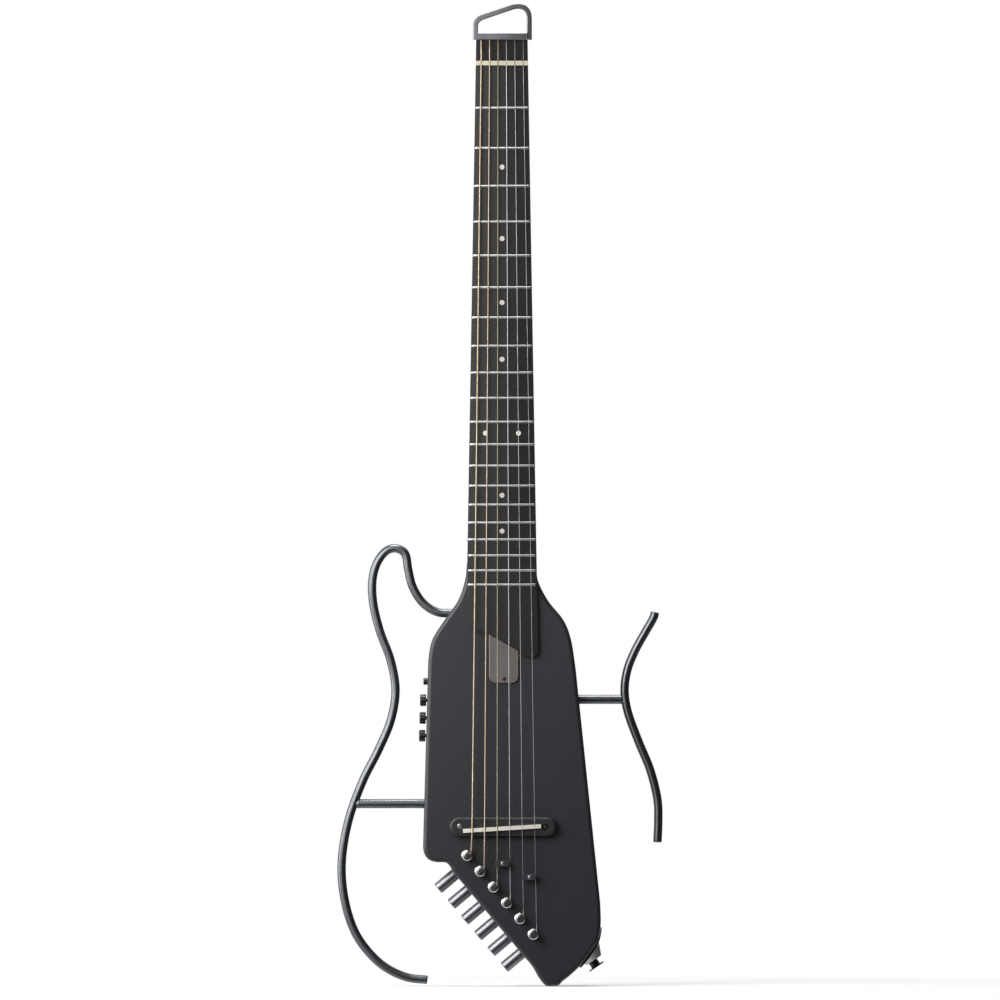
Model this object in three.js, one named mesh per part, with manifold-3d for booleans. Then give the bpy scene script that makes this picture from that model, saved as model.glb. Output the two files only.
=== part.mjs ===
// Skeleton frame guitar: a headless travel guitar with a slim body, tuners along the cut lower edge
// and two bent rods that stand in for the sides of a full body and pull out sideways.
// Millimetres. +X to the right of the player's view, -Y towards the strings' front, +Z up the neck.
// The origin is the inner face of the hanging loop on the centre line of the neck.
import * as THREE from 'three';
import { mergeVertices } from 'three/addons/utils/BufferGeometryUtils.js';
import Module from 'manifold-3d';

const wasm = await Module();
wasm.setup();

// Playing geometry
const scaleLength = 647.7;
const fretCount = 20;
const stringGauges = [1.35, 1.07, 0.81, 0.61, 0.41, 0.3];
const nutSpread = 35.9;
const nutShift = 0.35;
const saddleSpread = 53.4;
const saddleShift = 1.3;
const fingerboardRadius = 406;
const nutAction = 0.4;
const saddleAction = 4.4;
const anchorStringHeight = 2.6;
const saddleSetback = 4.3;
const saddleSlantDegrees = 3.5;

// Clearances
const glueLine = 0.1;
const fitGap = 0.3;
const runningGap = 0.25;
const stringGap = 0.12;
const overrun = 2;

// Facets: sides of round pieces and steps of curves
const slimSides = 8;
const boreSides = 10;
const controlSides = 12;
const collarSides = 14;
const roundSides = 16;
const flangeSides = 20;
const crownSteps = 4;
const cornerSteps = 4;
const bodyCurveSteps = 3;
const loopSteps = 7;

// Hanging loop and the bar that anchors the strings
const loopDrop = 16.3;
const barHeight = 6.3;
const barFront = 7.5;
const barBack = 11.5;
const barChamfer = 0.8;
const loopShift = 0.35;
const loopHalfWidth = 23;
const loopThickness = 4.5;
const loopDepth = 11;
const loopCrest = 6.2;
const loopEdge = 0.7;
const anchorHoleRadius = 1.1;
const ballRadius = 1.9;
const ballLength = 3.4;
const ballRoom = 0.4;
const ballPocketDepth = 4;

// Neck, fingerboard, nut and frets
const loopToNut = 44.5;
const nutLength = 3.9;
const nutOverString = 0.9;
const nutHalfWidth = 22.4;
const boardNutHalfWidth = 22.4;
const boardEndHalfWidth = 31;
const boardThickness = 6;
const boardBeyondFrets = 61.3;
const tongueLength = 33.3;
const fretHeight = 1;
const fretWidth = 2;
const fretCrownWidth = 0.9;
const neckDepthAtHead = 13;
const neckDepthAtBody = 17;
const neckCheek = 2;
const tenonHalfWidth = 21;
const tenonDepth = 13;
const tenonLength = 62;
const trussRodWidth = 6;
const trussRodDepth = 9;
const trussRodHeadSetback = 24;
const trussNutInset = 0.5;
const trussNutLength = 12;
const trussPocketHalfWidth = 7;
const trussPocketDepth = 12;
const trussPocketLength = 33.3;
const coverLeft = 11;
const coverRight = 14.3;
const coverBeyondBoard = 22.7;
const coverCorner = 6.8;
const coverThickness = 2;

// Body
const bodyJoinFret = 18;
const bodyBeyondJoin = 6;
const bodyWidth = 153.1;
const bodyLeftShare = 0.4415;
const shoulderLength = 83.6;
const cornerRise = 22.4;
const tipReach = 24.5;
const bodyThickness = 44;
const bodyEdgeRadius = 3;
const heelThickness = 24;
const heelLength = 46;
const sideWall = 10.1;
const cavityMargin = 18.3;
const cavityCorner = 8;
const cavityFloor = 8;
const coverLip = 5;
const rearCoverThickness = 2.5;

// Bridge, saddle and pickup
const bridgeShift = 0.9;
const bridgeDrop = 2.7;
const bridgeLength = 91.4;
const bridgeWidth = 16.3;
const bridgeHeight = 7.8;
const bridgeEdge = 2.2;
const saddleLength = 66.8;
const saddleThickness = 3.4;
const saddleOverString = 0.25;
const pickupHeight = 1.6;
const pickupThickness = 2.6;

// Tuners: six in a row along the cut lower edge
const tunerCount = 6;
const firstPostLeft = 29.8;
const firstPostBelowSaddle = 22.9;
const tunerSpacing = 1.06;
const tunerLineDegrees = 49.96;
const tunerEdgeDistance = 18.4;
const edgeStartPastPost = 2.8;
const edgeEndPastPost = 10.6;
const ledgeThickness = 16;
const ledgeInnerRoom = 3.5;
const ledgeEndMargin = 13;
const ledgeCorner = 5;
const knobUnderLedge = 1.8;
const gearRatio = 14;
const wheelRadius = 3.85;
const wheelToothDepth = 0.7;
const wheelWidth = 4;
const wormRadius = 1.9;
const wormToothDepth = 0.5;
const wormRidges = 3;
const wormPitch = 2.2;
const shaftRadius = 1.5;
const knobRadius = 5.1;
const knobStart = 17;
const knobEnd = 37.6;
const knobEdge = 0.6;
const housingInner = 8;
const housingOuter = 9.6;
const wheelRoom = 1.75;
const housingWall = 1.4;
const housingBehindWheel = 4;
const bushingRadius = 3.9;
const bushingRingRadius = 5.15;
const bushingRingHeight = 2.4;
const postRadius = 2.9;
const postShoulderRadius = 3.7;
const postShoulderHeight = 0.7;
const postWaistRadius = 2.5;
const postWaistHeight = 6.6;
const postCapRadius = 4.2;
const postFlareHeight = 1.5;
const postCapHeight = 1;
const postSlotWidth = 1.5;
const postSlotDepth = 2;

// String windings
const windingTurns = 2;
const windingStepsPerTurn = 24;
const windingSides = 6;
const windingGap = 0.5;
const windingStart = 0.5;

// String retainers: places below the saddle, on the body face
const retainerLength = 12.8;
const retainerWidth = 5.4;
const retainerThickness = 2.6;
const retainerStemRadius = 2.2;
const upperRetainerShift = 0.5;
const upperRetainerDrop = 29.9;
const lowerRetainerShift = 23.6;
const lowerRetainerDrop = 41.6;
const retainers = [
  { shift: upperRetainerShift, drop: upperRetainerDrop, strings: [2, 3] },
  { shift: lowerRetainerShift, drop: lowerRetainerDrop, strings: [4, 5] },
];

// Frame rods
const rodRadius = 3.95;
const rodSides = 10;
const pegStraight = 7.74;
const leftFrameRise = 12;
const leftFrameWidth = 73.3;
const leftFrameHeight = 368.9;
const rightFrameLeft = 104.9;
const rightFrameDrop = 42.4;
const rightFrameWidth = 28.9;
const rightFrameHeight = 196.9;
const sleeveInset = 1.2;
const tenonSideWall = 2.5;
const strutPegLength = 24.1;
const leftStrutRise = 35.5;
const rightStrutDrop = 117.1;
const socketRadius = 6.2;
const socketSides = 12;

// Side controls: a push button and three rotary knobs, measured down from the body's top
const buttonDrop = 101.7;
const firstKnobDrop = 117.8;
const knobPitch = 15.17;
const knobCount = 3;
const controlDepth = 20;
const controlKnobRadius = 5.1;
const controlKnobLength = 5.4;
const controlKnobStandoff = 0.7;
const controlKnobEdge = 0.5;
const controlShaftRadius = 1.6;
const potBushingRadius = 3;
const potSpacing = 1.57;
const potLength = 8;
const buttonRadius = 3;
const buttonProud = 3.7;
const buttonStemRadius = 1.4;
const buttonTravel = 1.5;
const switchWidth = 8;
const boardPlateThickness = 1.6;
const boardPlateMargin = 9;
const boardPlateDepth = 24;
const batteryLength = 48.5;
const batteryWidth = 26.5;
const batteryThickness = 17.5;
const batteryCorner = 2.5;
const batteryRoom = 7.7;

// Strap boss at the lower right
const bossProud = 6;
const bossAxisDegrees = 55.6;
const bossOuterRadius = 7.6;
const bossInnerRadius = 17.3;
const bossLength = 21;
const bossPlateThickness = 1.6;
const bossPlateAbove = 27;
const bossPlateBelow = 11;
const bossPlateHalfWidth = 15;
const bossPlateSkewDegrees = 15;
const strapNeckRadius = 4.2;
const strapNeckLength = 3.6;
const strapFlangeRadius = 7.5;
const strapFlangeThickness = 1.3;
const strapRecessRadius = 3;
const strapRecessDepth = 0.8;

// Outline points, as shares across and down the part of the outline that they draw
const leftShoulderShares = [[0.246, 0], [0.235, 0.182], [0.196, 0.39], [0.119, 0.593], [0.051, 0.797],
  [0.03, 1]];
const rightShoulderShares = [[0.855, 1.104], [0.829, 0.797], [0.787, 0.593], [0.7, 0.39], [0.643, 0.182],
  [0.634, 0]];
const cornerShares = [[0.006, 0], [0, 0.63], [0.527, 0.645], [0.725, 0.645], [0.874, 0.661], [1, 1]];
const tipShares = [[0, 0], [0.096, 0.309], [0.182, 0.706], [0.266, 0.971], [0.347, 1], [0.437, 0.97],
  [0.489, 0.834], [0.592, 0.614], [0.733, 0.246], [0.876, -0.276], [0.95, -0.623], [0.985, -1.174],
  [0.979, -1.897]];
const bossSeatShares = [[0.842, -0.025]];
const tongueShares = [[-0.97, 0], [-0.9, 0.14], [-0.75, 0.315], [-0.36, 0.41], [0.25, 0.72], [0.47, 0.846],
  [0.6, 0.987], [0.91, 1], [1, 0.846]];
const loopLeftCornerShares = [[-1, 0.76], [-1, 0.51], [-0.69, 0.404]];
const loopRightCornerShares = [[0.34, 0.047], [0.57, -0.033], [1, -0.06], [1, 0.5]];
const leftFrameShares = [[1.223, 0.15], [1.164, 0.1496], [1.092, 0.146], [1.017, 0.138], [0.918, 0.12],
  [0.823, 0.087], [0.776, 0.05], [0.734, 0.011], [0.636, 0], [0.534, 0.004], [0.423, 0.029], [0.362, 0.067],
  [0.362, 0.12], [0.442, 0.19], [0.569, 0.259], [0.627, 0.328], [0.572, 0.398], [0.425, 0.468], [0.249, 0.537],
  [0.079, 0.63], [0.001, 0.723], [0.015, 0.792], [0.097, 0.862], [0.207, 0.908], [0.402, 0.954], [0.569, 0.978],
  [0.779, 0.995], [1, 1]];
const rightFrameShares = [[0.9, 0], [0.868, 0.02], [0.64, 0.08], [0.311, 0.167], [0.08, 0.253], [0, 0.34],
  [0.083, 0.427], [0.399, 0.557], [0.763, 0.688], [0.976, 0.818], [0.997, 0.905], [0.973, 1]];

// Worked out from the sizes above
const fretDistance = (fret) => scaleLength * (1 - 2 ** (-fret / 12));
const nutZ = -loopToNut;
const barTopZ = -loopDrop;
const barBottomZ = barTopZ - barHeight;
const boardEndZ = nutZ - fretDistance(fretCount) - boardBeyondFrets;
const tongueStartZ = boardEndZ + tongueLength;
const bodyTopZ = nutZ - fretDistance(bodyJoinFret) - bodyBeyondJoin;
const nutStringHeight = boardThickness + fretHeight + nutAction;
const saddleStringHeight = boardThickness + fretHeight + saddleAction;
const trussNutRadius = trussRodDepth / 2 - trussNutInset;
const barHalfWidth = loopHalfWidth - loopThickness / 2 - glueLine;
const ballPocketRadius = ballRadius + ballRoom;
const wormOffset = wheelRadius + wormRadius + runningGap;
const wormDepth = ledgeThickness + knobUnderLedge + knobRadius;
const housingDepth = wormDepth - ledgeThickness + wheelWidth / 2 + housingBehindWheel;
const housingLow = wheelRadius + wheelRoom + housingWall;
const housingHigh = wormOffset + wormRadius + runningGap + housingWall;
const tunerPitch = housingLow + housingHigh + tunerSpacing;
const saddleZ = nutZ - scaleLength - saddleSetback;
const bridgeZ = nutZ - scaleLength - bridgeDrop;
const saddleSlant = THREE.MathUtils.degToRad(saddleSlantDegrees);
const tunerTurn = THREE.MathUtils.degToRad(tunerLineDegrees);
const bossTurn = THREE.MathUtils.degToRad(bossAxisDegrees);
const bossPlateSkew = THREE.MathUtils.degToRad(bossPlateSkewDegrees);
const bodyLeft = bodyLeftShare * bodyWidth;
const bodyRight = bodyWidth - bodyLeft;
const rodDepth = bodyThickness / 2;
const potRadius = (knobPitch - potSpacing) / 2;
const cavityLeft = bodyLeft - sideWall;
const controlsFace = -cavityLeft + fitGap;
const circuitFace = controlsFace + potLength + glueLine;
const batteryLeft = circuitFace + boardPlateThickness + fitGap;
const cavityRight = -(batteryLeft + batteryWidth + batteryRoom);
const buttonZ = bodyTopZ - buttonDrop;
const knobPlaces = Array.from({ length: knobCount }, (_, index) => (
  bodyTopZ - firstKnobDrop - index * knobPitch
));
const cavityTopZ = buttonZ + cavityMargin;
const cavityBottomZ = knobPlaces.at(-1) - cavityMargin;

const across = (radius) => 2 * radius;
const spread = (index, width, shift) => shift + (index / (stringGauges.length - 1) - 1 / 2) * width;
const boardHalfWidthAt = (z) => (
  THREE.MathUtils.mapLinear(z, nutZ, boardEndZ, boardNutHalfWidth, boardEndHalfWidth)
);
const crownDrop = (x) => x ** 2 / across(fingerboardRadius);
const placed = (shares, left, top, width, height) => (
  shares.map(([u, v]) => [left + u * width, top - v * height])
);

// Materials
const paint = (color, roughness, metalness) => new THREE.MeshStandardMaterial({ color, roughness, metalness });
const looks = {
  bodyPaint: paint(0x3a3c40, 0.5, 0.1),
  neckWood: paint(0x2c2522, 0.55, 0),
  ebony: paint(0x2b2827, 0.6, 0),
  ivory: paint(0xe4dec8, 0.45, 0),
  gunmetal: paint(0x6a696b, 0.35, 0.9),
  chrome: paint(0xc9c9cc, 0.18, 1),
  steel: paint(0x9fa1a4, 0.35, 1),
  brass: paint(0xb08d57, 0.4, 1),
  bronze: paint(0xb08f6c, 0.4, 0.8),
  plainSteel: paint(0xb9bbbf, 0.3, 0.9),
  blackPlastic: paint(0x1c1d1f, 0.4, 0),
  blackGloss: paint(0x141516, 0.25, 0),
  coverPlate: paint(0x67625f, 0.5, 0.2),
  circuit: paint(0x22482f, 0.6, 0),
  battery: paint(0x30363e, 0.5, 0.2),
};

// Solids
function solid(geometry) {
  geometry.deleteAttribute('normal');
  geometry.deleteAttribute('uv');
  const merged = mergeVertices(geometry);
  const corners = merged.index.array;
  const faces = [];
  for (let first = 0; first < corners.length; first += 3) {
    const face = [corners[first], corners[first + 1], corners[first + 2]];
    if (new Set(face).size === face.length) {
      faces.push(...face);
    }
  }
  return new wasm.Manifold(new wasm.Mesh({
    numProp: 3,
    vertProperties: new Float32Array(merged.attributes.position.array),
    triVerts: new Uint32Array(faces),
  }));
}

function surface(body) {
  const mesh = body.getMesh();
  const geometry = new THREE.BufferGeometry();
  geometry.setAttribute('position', new THREE.BufferAttribute(new Float32Array(mesh.vertProperties), 3));
  geometry.setIndex(new THREE.BufferAttribute(new Uint32Array(mesh.triVerts), 1));
  geometry.computeVertexNormals();
  return geometry;
}

const cut = (body, ...tools) => tools.reduce((rest, tool) => rest.subtract(tool), body);
const join = (body, ...others) => others.reduce((all, other) => all.add(other), body);

function outline(points) {
  return new THREE.Shape(points.map(([x, z]) => new THREE.Vector2(x, z)));
}

// A plate whose outline lies in the XZ plane, from depth front to depth back along Y.
function plate(shape, front, back, curveSegments = cornerSteps) {
  const depth = back - front;
  const geometry = new THREE.ExtrudeGeometry(shape, { depth, bevelEnabled: false, curveSegments });
  return geometry.rotateX(Math.PI / 2).translate(0, back, 0);
}

// The same with its outline kept and its front and back edges rounded.
function roundedPlate(shape, front, back, radius, bevelSegments, curveSegments = cornerSteps) {
  const geometry = new THREE.ExtrudeGeometry(shape, {
    depth: back - front - across(radius),
    bevelEnabled: true,
    bevelThickness: radius,
    bevelSize: radius,
    bevelOffset: -radius,
    bevelSegments,
    curveSegments,
  });
  return geometry.rotateX(Math.PI / 2).translate(0, back - radius, 0);
}

function block(left, right, front, back, low, high) {
  const geometry = new THREE.BoxGeometry(right - left, back - front, high - low);
  return geometry.translate((left + right) / 2, (front + back) / 2, (low + high) / 2);
}

// Turns a geometry from the Y axis to a unit direction and moves it to a start point.
function aimed(geometry, start, direction) {
  const turn = new THREE.Quaternion().setFromUnitVectors(new THREE.Vector3(0, 1, 0), direction);
  return geometry.applyQuaternion(turn).translate(start.x, start.y, start.z);
}

// A cylinder or cone along a direction, from a start point.
function bar(start, direction, length, radius, sides = roundSides, endRadius = radius) {
  const geometry = new THREE.CylinderGeometry(endRadius, radius, length, sides);
  geometry.translate(0, length / 2, 0);
  return aimed(geometry, start, direction);
}

// A revolve about an axis: the profile gives distance along the axis and radius.
function turned(profile, start, direction, sides = flangeSides) {
  const points = profile.map(([along, radius]) => new THREE.Vector2(radius, along));
  return aimed(new THREE.LatheGeometry(points, sides), start, direction);
}

// Six times the volume that a list of faces encloses, negative where they face inwards.
function enclosed(vertices, faces) {
  let sum = 0;
  for (let first = 0; first < faces.length; first += 3) {
    const [a, b, c] = faces.slice(first, first + 3).map((index) => vertices[index]);
    sum += a.dot(b.clone().cross(c));
  }
  return sum;
}

// One closed skin over rings of equally many points, with its faces turned outwards.
function skin(rings) {
  const count = rings[0].length;
  const vertices = rings.flat();
  const faces = [];
  for (let ring = 0; ring < rings.length - 1; ring += 1) {
    for (let side = 0; side < count; side += 1) {
      const next = (side + 1) % count;
      const here = ring * count;
      faces.push(here + side, here + next, here + count + side);
      faces.push(here + next, here + count + next, here + count + side);
    }
  }
  const last = (rings.length - 1) * count;
  for (let side = 1; side < count - 1; side += 1) {
    faces.push(0, side + 1, side);
    faces.push(last, last + side, last + side + 1);
  }
  const geometry = new THREE.BufferGeometry().setFromPoints(vertices);
  geometry.setIndex(enclosed(vertices, faces) < 0 ? faces.reverse() : faces);
  geometry.computeVertexNormals();
  return geometry;
}

// A tube along points, with a radius at each point, as one unbroken skin.
function tube(points, radii, sides) {
  const rings = [];
  let side = new THREE.Vector3(0, 1, 0);
  points.forEach((point, index) => {
    const before = points[Math.max(index - 1, 0)];
    const after = points[Math.min(index + 1, points.length - 1)];
    const along = after.clone().sub(before).normalize();
    side = side.clone().addScaledVector(along, -side.dot(along)).normalize();
    const other = along.clone().cross(side);
    const ring = [];
    for (let corner = 0; corner < sides; corner += 1) {
      const angle = (corner / sides) * 2 * Math.PI;
      const offset = side.clone().multiplyScalar(Math.cos(angle)).addScaledVector(other, Math.sin(angle));
      ring.push(point.clone().addScaledVector(offset, radii[index]));
    }
    rings.push(ring);
  });
  return skin(rings);
}

const guitar = new THREE.Group();

function piece(name, geometry, material, parent = guitar) {
  const mesh = new THREE.Mesh(geometry, material);
  mesh.name = name;
  parent.add(mesh);
  return mesh;
}

// Directions
const right = new THREE.Vector3(1, 0, 0);
const left = new THREE.Vector3(-1, 0, 0);
const back = new THREE.Vector3(0, 1, 0);
const front = new THREE.Vector3(0, -1, 0);
const up = new THREE.Vector3(0, 0, 1);
const down = new THREE.Vector3(0, 0, -1);
const at = (x, y, z) => new THREE.Vector3(x, y, z);

// Tuner places along the cut edge
const alongTuners = at(Math.cos(tunerTurn), 0, -Math.sin(tunerTurn));
const postPlaces = Array.from({ length: tunerCount }, (_, index) => (
  at(-firstPostLeft, 0, saddleZ - firstPostBelowSaddle).addScaledVector(alongTuners, index * tunerPitch)
));

// Body outline: shoulders from the neck, a straight cut edge along the tuners, and the tip beyond it
const outOfEdge = at(-alongTuners.z, 0, alongTuners.x).multiplyScalar(-tunerEdgeDistance);
const cutStart = postPlaces[0].clone().add(outOfEdge).addScaledVector(alongTuners, edgeStartPastPost);
const cutEnd = postPlaces.at(-1).clone().add(outOfEdge).addScaledVector(alongTuners, edgeEndPastPost);
const cornerTopZ = cutStart.z + cornerRise;
const onShoulders = (shares) => placed(shares, -bodyLeft, bodyTopZ, bodyWidth, shoulderLength);
const onCorner = (shares) => placed(shares, -bodyLeft, cornerTopZ, cutStart.x + bodyLeft, cornerRise);
const onTip = (shares) => placed(shares, cutEnd.x, cutEnd.z, bodyRight - cutEnd.x, tipReach);
const leftShoulder = onShoulders(leftShoulderShares);
const rightShoulder = onShoulders(rightShoulderShares);
const corner = onCorner(cornerShares);
const tip = onTip(tipShares);
const asVectors = (points) => points.map(([x, z]) => new THREE.Vector2(x, z));

const bodyShape = new THREE.Shape();
const aboveTopZ = bodyTopZ + 4 * bodyEdgeRadius;
bodyShape.moveTo(leftShoulder[0][0], aboveTopZ);
bodyShape.lineTo(...leftShoulder[0]);
bodyShape.splineThru(asVectors(leftShoulder.slice(1)));
bodyShape.lineTo(...corner[0]);
bodyShape.quadraticCurveTo(...corner[1], ...corner[2]);
bodyShape.lineTo(...corner[3]);
bodyShape.quadraticCurveTo(...corner[4], ...corner[5]);
bodyShape.lineTo(...tip[0]);
bodyShape.splineThru(asVectors(tip.slice(1)));
bodyShape.lineTo(...rightShoulder[0]);
bodyShape.splineThru(asVectors(rightShoulder.slice(1)));
bodyShape.lineTo(rightShoulder.at(-1)[0], aboveTopZ);

// How far out the straight sides and the left shoulder lie, at a height
const between = (z, from, to) => THREE.MathUtils.mapLinear(z, from[1], to[1], from[0], to[0]);
const leftSideAt = (z) => between(z, leftShoulder.at(-1), corner[0]);
const rightSideAt = (z) => between(z, rightShoulder[0], tip.at(-1));
function leftShoulderAt(z) {
  const below = leftShoulder.findIndex((point) => point[1] < z);
  return between(z, leftShoulder[below - 1], leftShoulder[below]);
}

// Frame rod routes
function frameRoute(shares, leftEdge, top, width, height) {
  const points = placed(shares, leftEdge, top, width, height).map(([x, z]) => at(x, rodDepth, z));
  return new THREE.CatmullRomCurve3(points, false, 'centripetal');
}
const [[pegAcrossShare, pegDownShare]] = leftFrameShares;
const upperPegZ = bodyTopZ + leftFrameRise - pegDownShare * leftFrameHeight;
const upperPegEntry = leftShoulderAt(upperPegZ + socketRadius) + sleeveInset;
const leftFrameLeft = upperPegEntry - pegStraight - pegAcrossShare * leftFrameWidth;
const leftRoute = frameRoute(leftFrameShares, leftFrameLeft, bodyTopZ + leftFrameRise, leftFrameWidth,
  leftFrameHeight);
const rightRoute = frameRoute(rightFrameShares, rightFrameLeft, bodyTopZ - rightFrameDrop, rightFrameWidth,
  rightFrameHeight);
const leftStrutZ = cornerTopZ + leftStrutRise;
const rightStrutZ = bodyTopZ - rightStrutDrop;

// Where each sleeve starts inside the body's side and where it ends
const upperPegEnd = -tenonHalfWidth - tenonSideWall;
const lowerPegEntry = leftSideAt(leftStrutZ) + sleeveInset;
const lowerPegEnd = lowerPegEntry + strutPegLength;
const rightPegEntry = rightSideAt(rightStrutZ) - sleeveInset;
const rightPegEnd = rightPegEntry - strutPegLength;

function rodAlong(route, steps, radius, sides, lead = []) {
  const points = [...lead, ...route.getSpacedPoints(steps)];
  return tube(points, points.map(() => radius), sides);
}

// Where a route crosses a height, as a distance to the right of the centre line.
function crossing(route, z, steps) {
  const points = route.getSpacedPoints(steps).filter((point) => point.x < -bodyLeft || point.x > bodyLeft);
  return points.reduce((best, point) => (Math.abs(point.z - z) < Math.abs(best.z - z) ? point : best)).x;
}

function sleeveBore(start, end, z, radius, sides = socketSides) {
  return bar(at(start, rodDepth, z), end > start ? right : left, Math.abs(end - start), radius, sides);
}

// Body with its pockets
function roundedBox(leftEdge, rightEdge, low, high, corner) {
  const shape = new THREE.Shape();
  shape.moveTo(leftEdge + corner, low);
  shape.lineTo(rightEdge - corner, low);
  shape.quadraticCurveTo(rightEdge, low, rightEdge, low + corner);
  shape.lineTo(rightEdge, high - corner);
  shape.quadraticCurveTo(rightEdge, high, rightEdge - corner, high);
  shape.lineTo(leftEdge + corner, high);
  shape.quadraticCurveTo(leftEdge, high, leftEdge, high - corner);
  shape.lineTo(leftEdge, low + corner);
  shape.quadraticCurveTo(leftEdge, low, leftEdge + corner, low);
  return shape;
}

// The pocket behind the cut edge that leaves a ledge for the tuners, in the tuners' own directions.
function ledgePocket() {
  const length = (tunerCount - 1) * tunerPitch + 2 * ledgeEndMargin;
  const shape = new THREE.Shape();
  const inner = -housingInner - ledgeInnerRoom;
  const outer = tunerEdgeDistance + ledgeEndMargin;
  shape.moveTo(outer, -ledgeEndMargin);
  shape.lineTo(inner + ledgeCorner, -ledgeEndMargin);
  shape.quadraticCurveTo(inner, -ledgeEndMargin, inner, ledgeCorner - ledgeEndMargin);
  shape.lineTo(inner, length - ledgeEndMargin - ledgeCorner);
  shape.quadraticCurveTo(inner, length - ledgeEndMargin, inner + ledgeCorner, length - ledgeEndMargin);
  shape.lineTo(outer, length - ledgeEndMargin);
  const geometry = plate(shape, ledgeThickness, bodyThickness + overrun);
  return geometry.rotateY(Math.PI / 2 + tunerTurn).translate(postPlaces[0].x, 0, postPlaces[0].z);
}

// The back of the heel slopes from the neck's depth to the full thickness.
function heelCut() {
  const half = boardEndHalfWidth * 2;
  const steps = 6;
  const rings = [-half, half].map((x) => {
    const ring = [];
    for (let step = 0; step <= steps; step += 1) {
      const share = step / steps;
      const rise = (bodyThickness - heelThickness) * Math.sin(share * Math.PI / 2);
      ring.push(at(x, heelThickness + rise, bodyTopZ - share * heelLength));
    }
    ring.push(at(x, bodyThickness + overrun, bodyTopZ - heelLength - overrun));
    ring.push(at(x, bodyThickness + overrun, bodyTopZ + overrun));
    ring.push(at(x, heelThickness, bodyTopZ + overrun));
    return ring;
  });
  return skin(rings);
}

const cavityShape = (grow) => roundedBox(-cavityLeft - grow, -cavityRight + grow, cavityBottomZ - grow,
  cavityTopZ + grow, cavityCorner + grow);

function bodyGeometry() {
  let body = solid(roundedPlate(bodyShape, 0, bodyThickness, bodyEdgeRadius, 2, bodyCurveSteps));
  const behind = bodyThickness + overrun;
  body = cut(
    body,
    solid(block(-bodyLeft, bodyLeft, -overrun, behind, bodyTopZ, bodyTopZ + bodyLeft)),
    solid(block(-tenonHalfWidth - fitGap, tenonHalfWidth + fitGap, -overrun, tenonDepth + fitGap,
      bodyTopZ - tenonLength - fitGap, bodyTopZ + overrun)),
    solid(block(-trussPocketHalfWidth, trussPocketHalfWidth, -overrun, trussPocketDepth,
      bodyTopZ - tenonLength - trussPocketLength, bodyTopZ - tenonLength)),
    solid(heelCut()),
    solid(ledgePocket()),
    solid(plate(cavityShape(0), cavityFloor, behind)),
    solid(plate(cavityShape(coverLip), bodyThickness - rearCoverThickness - glueLine, behind)),
  );
  for (const place of postPlaces) {
    body = cut(body, solid(bar(at(place.x, -overrun, place.z), back, ledgeThickness + 2 * overrun,
      bushingRadius + fitGap, boreSides)));
  }
  const pegBore = rodRadius + fitGap;
  const sleeveRadius = socketRadius + fitGap;
  body = cut(
    body,
    solid(sleeveBore(upperPegEntry, upperPegEnd + fitGap, upperPegZ, sleeveRadius)),
    solid(sleeveBore(-bodyLeft, upperPegEnd, upperPegZ, pegBore, rodSides)),
    solid(sleeveBore(lowerPegEntry - overrun, lowerPegEnd + fitGap, leftStrutZ, sleeveRadius)),
    solid(sleeveBore(rightPegEntry + overrun, rightPegEnd - fitGap, rightStrutZ, sleeveRadius)),
  );
  const sideBore = (z, radius) => solid(bar(at(leftSideAt(z) - overrun, controlDepth, z), right,
    bodyLeft - cavityLeft + overrun, radius + fitGap, controlSides));
  const potBores = knobPlaces.map((z) => sideBore(z, potBushingRadius));
  return cut(body, ...potBores, sideBore(buttonZ, buttonRadius));
}
const bodySolid = bodyGeometry();
piece('body', surface(bodySolid), looks.bodyPaint);

piece('rear_cover', surface(solid(plate(cavityShape(coverLip - fitGap), bodyThickness - rearCoverThickness,
  bodyThickness))), looks.blackPlastic);

// Neck: a tapered C section whose tenon seats in the body
function neckSection(z, top) {
  const half = boardHalfWidthAt(z);
  const depth = THREE.MathUtils.mapLinear(z, nutZ, bodyTopZ, neckDepthAtHead, neckDepthAtBody);
  const ring = [at(-half, top, z), at(-half, top + neckCheek, z)];
  const steps = 8;
  for (let step = 1; step < steps; step += 1) {
    const angle = (step / steps) * Math.PI;
    const belly = Math.sin(angle) ** (4 / 5);
    ring.push(at(-half * Math.cos(angle), top + neckCheek + (depth - neckCheek) * belly, z));
  }
  ring.push(at(half, top + neckCheek, z), at(half, top, z));
  return ring;
}

const neckTopZ = barBottomZ - glueLine;
const neckFootZ = bodyTopZ + glueLine;
const tenonFootZ = bodyTopZ - tenonLength;
const rodTopZ = nutZ - trussRodHeadSetback;

function neckGeometry() {
  const stations = 7;
  const rings = [];
  for (let station = 0; station < stations; station += 1) {
    rings.push(neckSection(THREE.MathUtils.lerp(neckFootZ, neckTopZ, station / (stations - 1)), 0));
  }
  const tenon = block(-tenonHalfWidth, tenonHalfWidth, 0, tenonDepth, tenonFootZ, neckFootZ + overrun);
  const slotHalf = trussRodWidth / 2 + fitGap;
  const slot = block(-slotHalf, slotHalf, -overrun, trussRodDepth + fitGap, tenonFootZ - overrun, rodTopZ);
  return cut(join(solid(skin(rings)), solid(tenon)), solid(slot));
}
piece('neck', surface(neckGeometry()), looks.neckWood);

// Truss rod in its slot, with its adjusting nut in the pocket under the cover
function trussRodGeometry() {
  const half = trussRodWidth / 2;
  const middle = at(0, trussRodDepth - trussNutRadius, tenonFootZ - glueLine);
  const rod = solid(block(-half, half, fitGap, trussRodDepth, tenonFootZ - overrun, rodTopZ - fitGap));
  return join(rod, solid(bar(middle, down, trussNutLength, trussNutRadius, 6)));
}
piece('truss_rod', surface(trussRodGeometry()), looks.steel);

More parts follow.
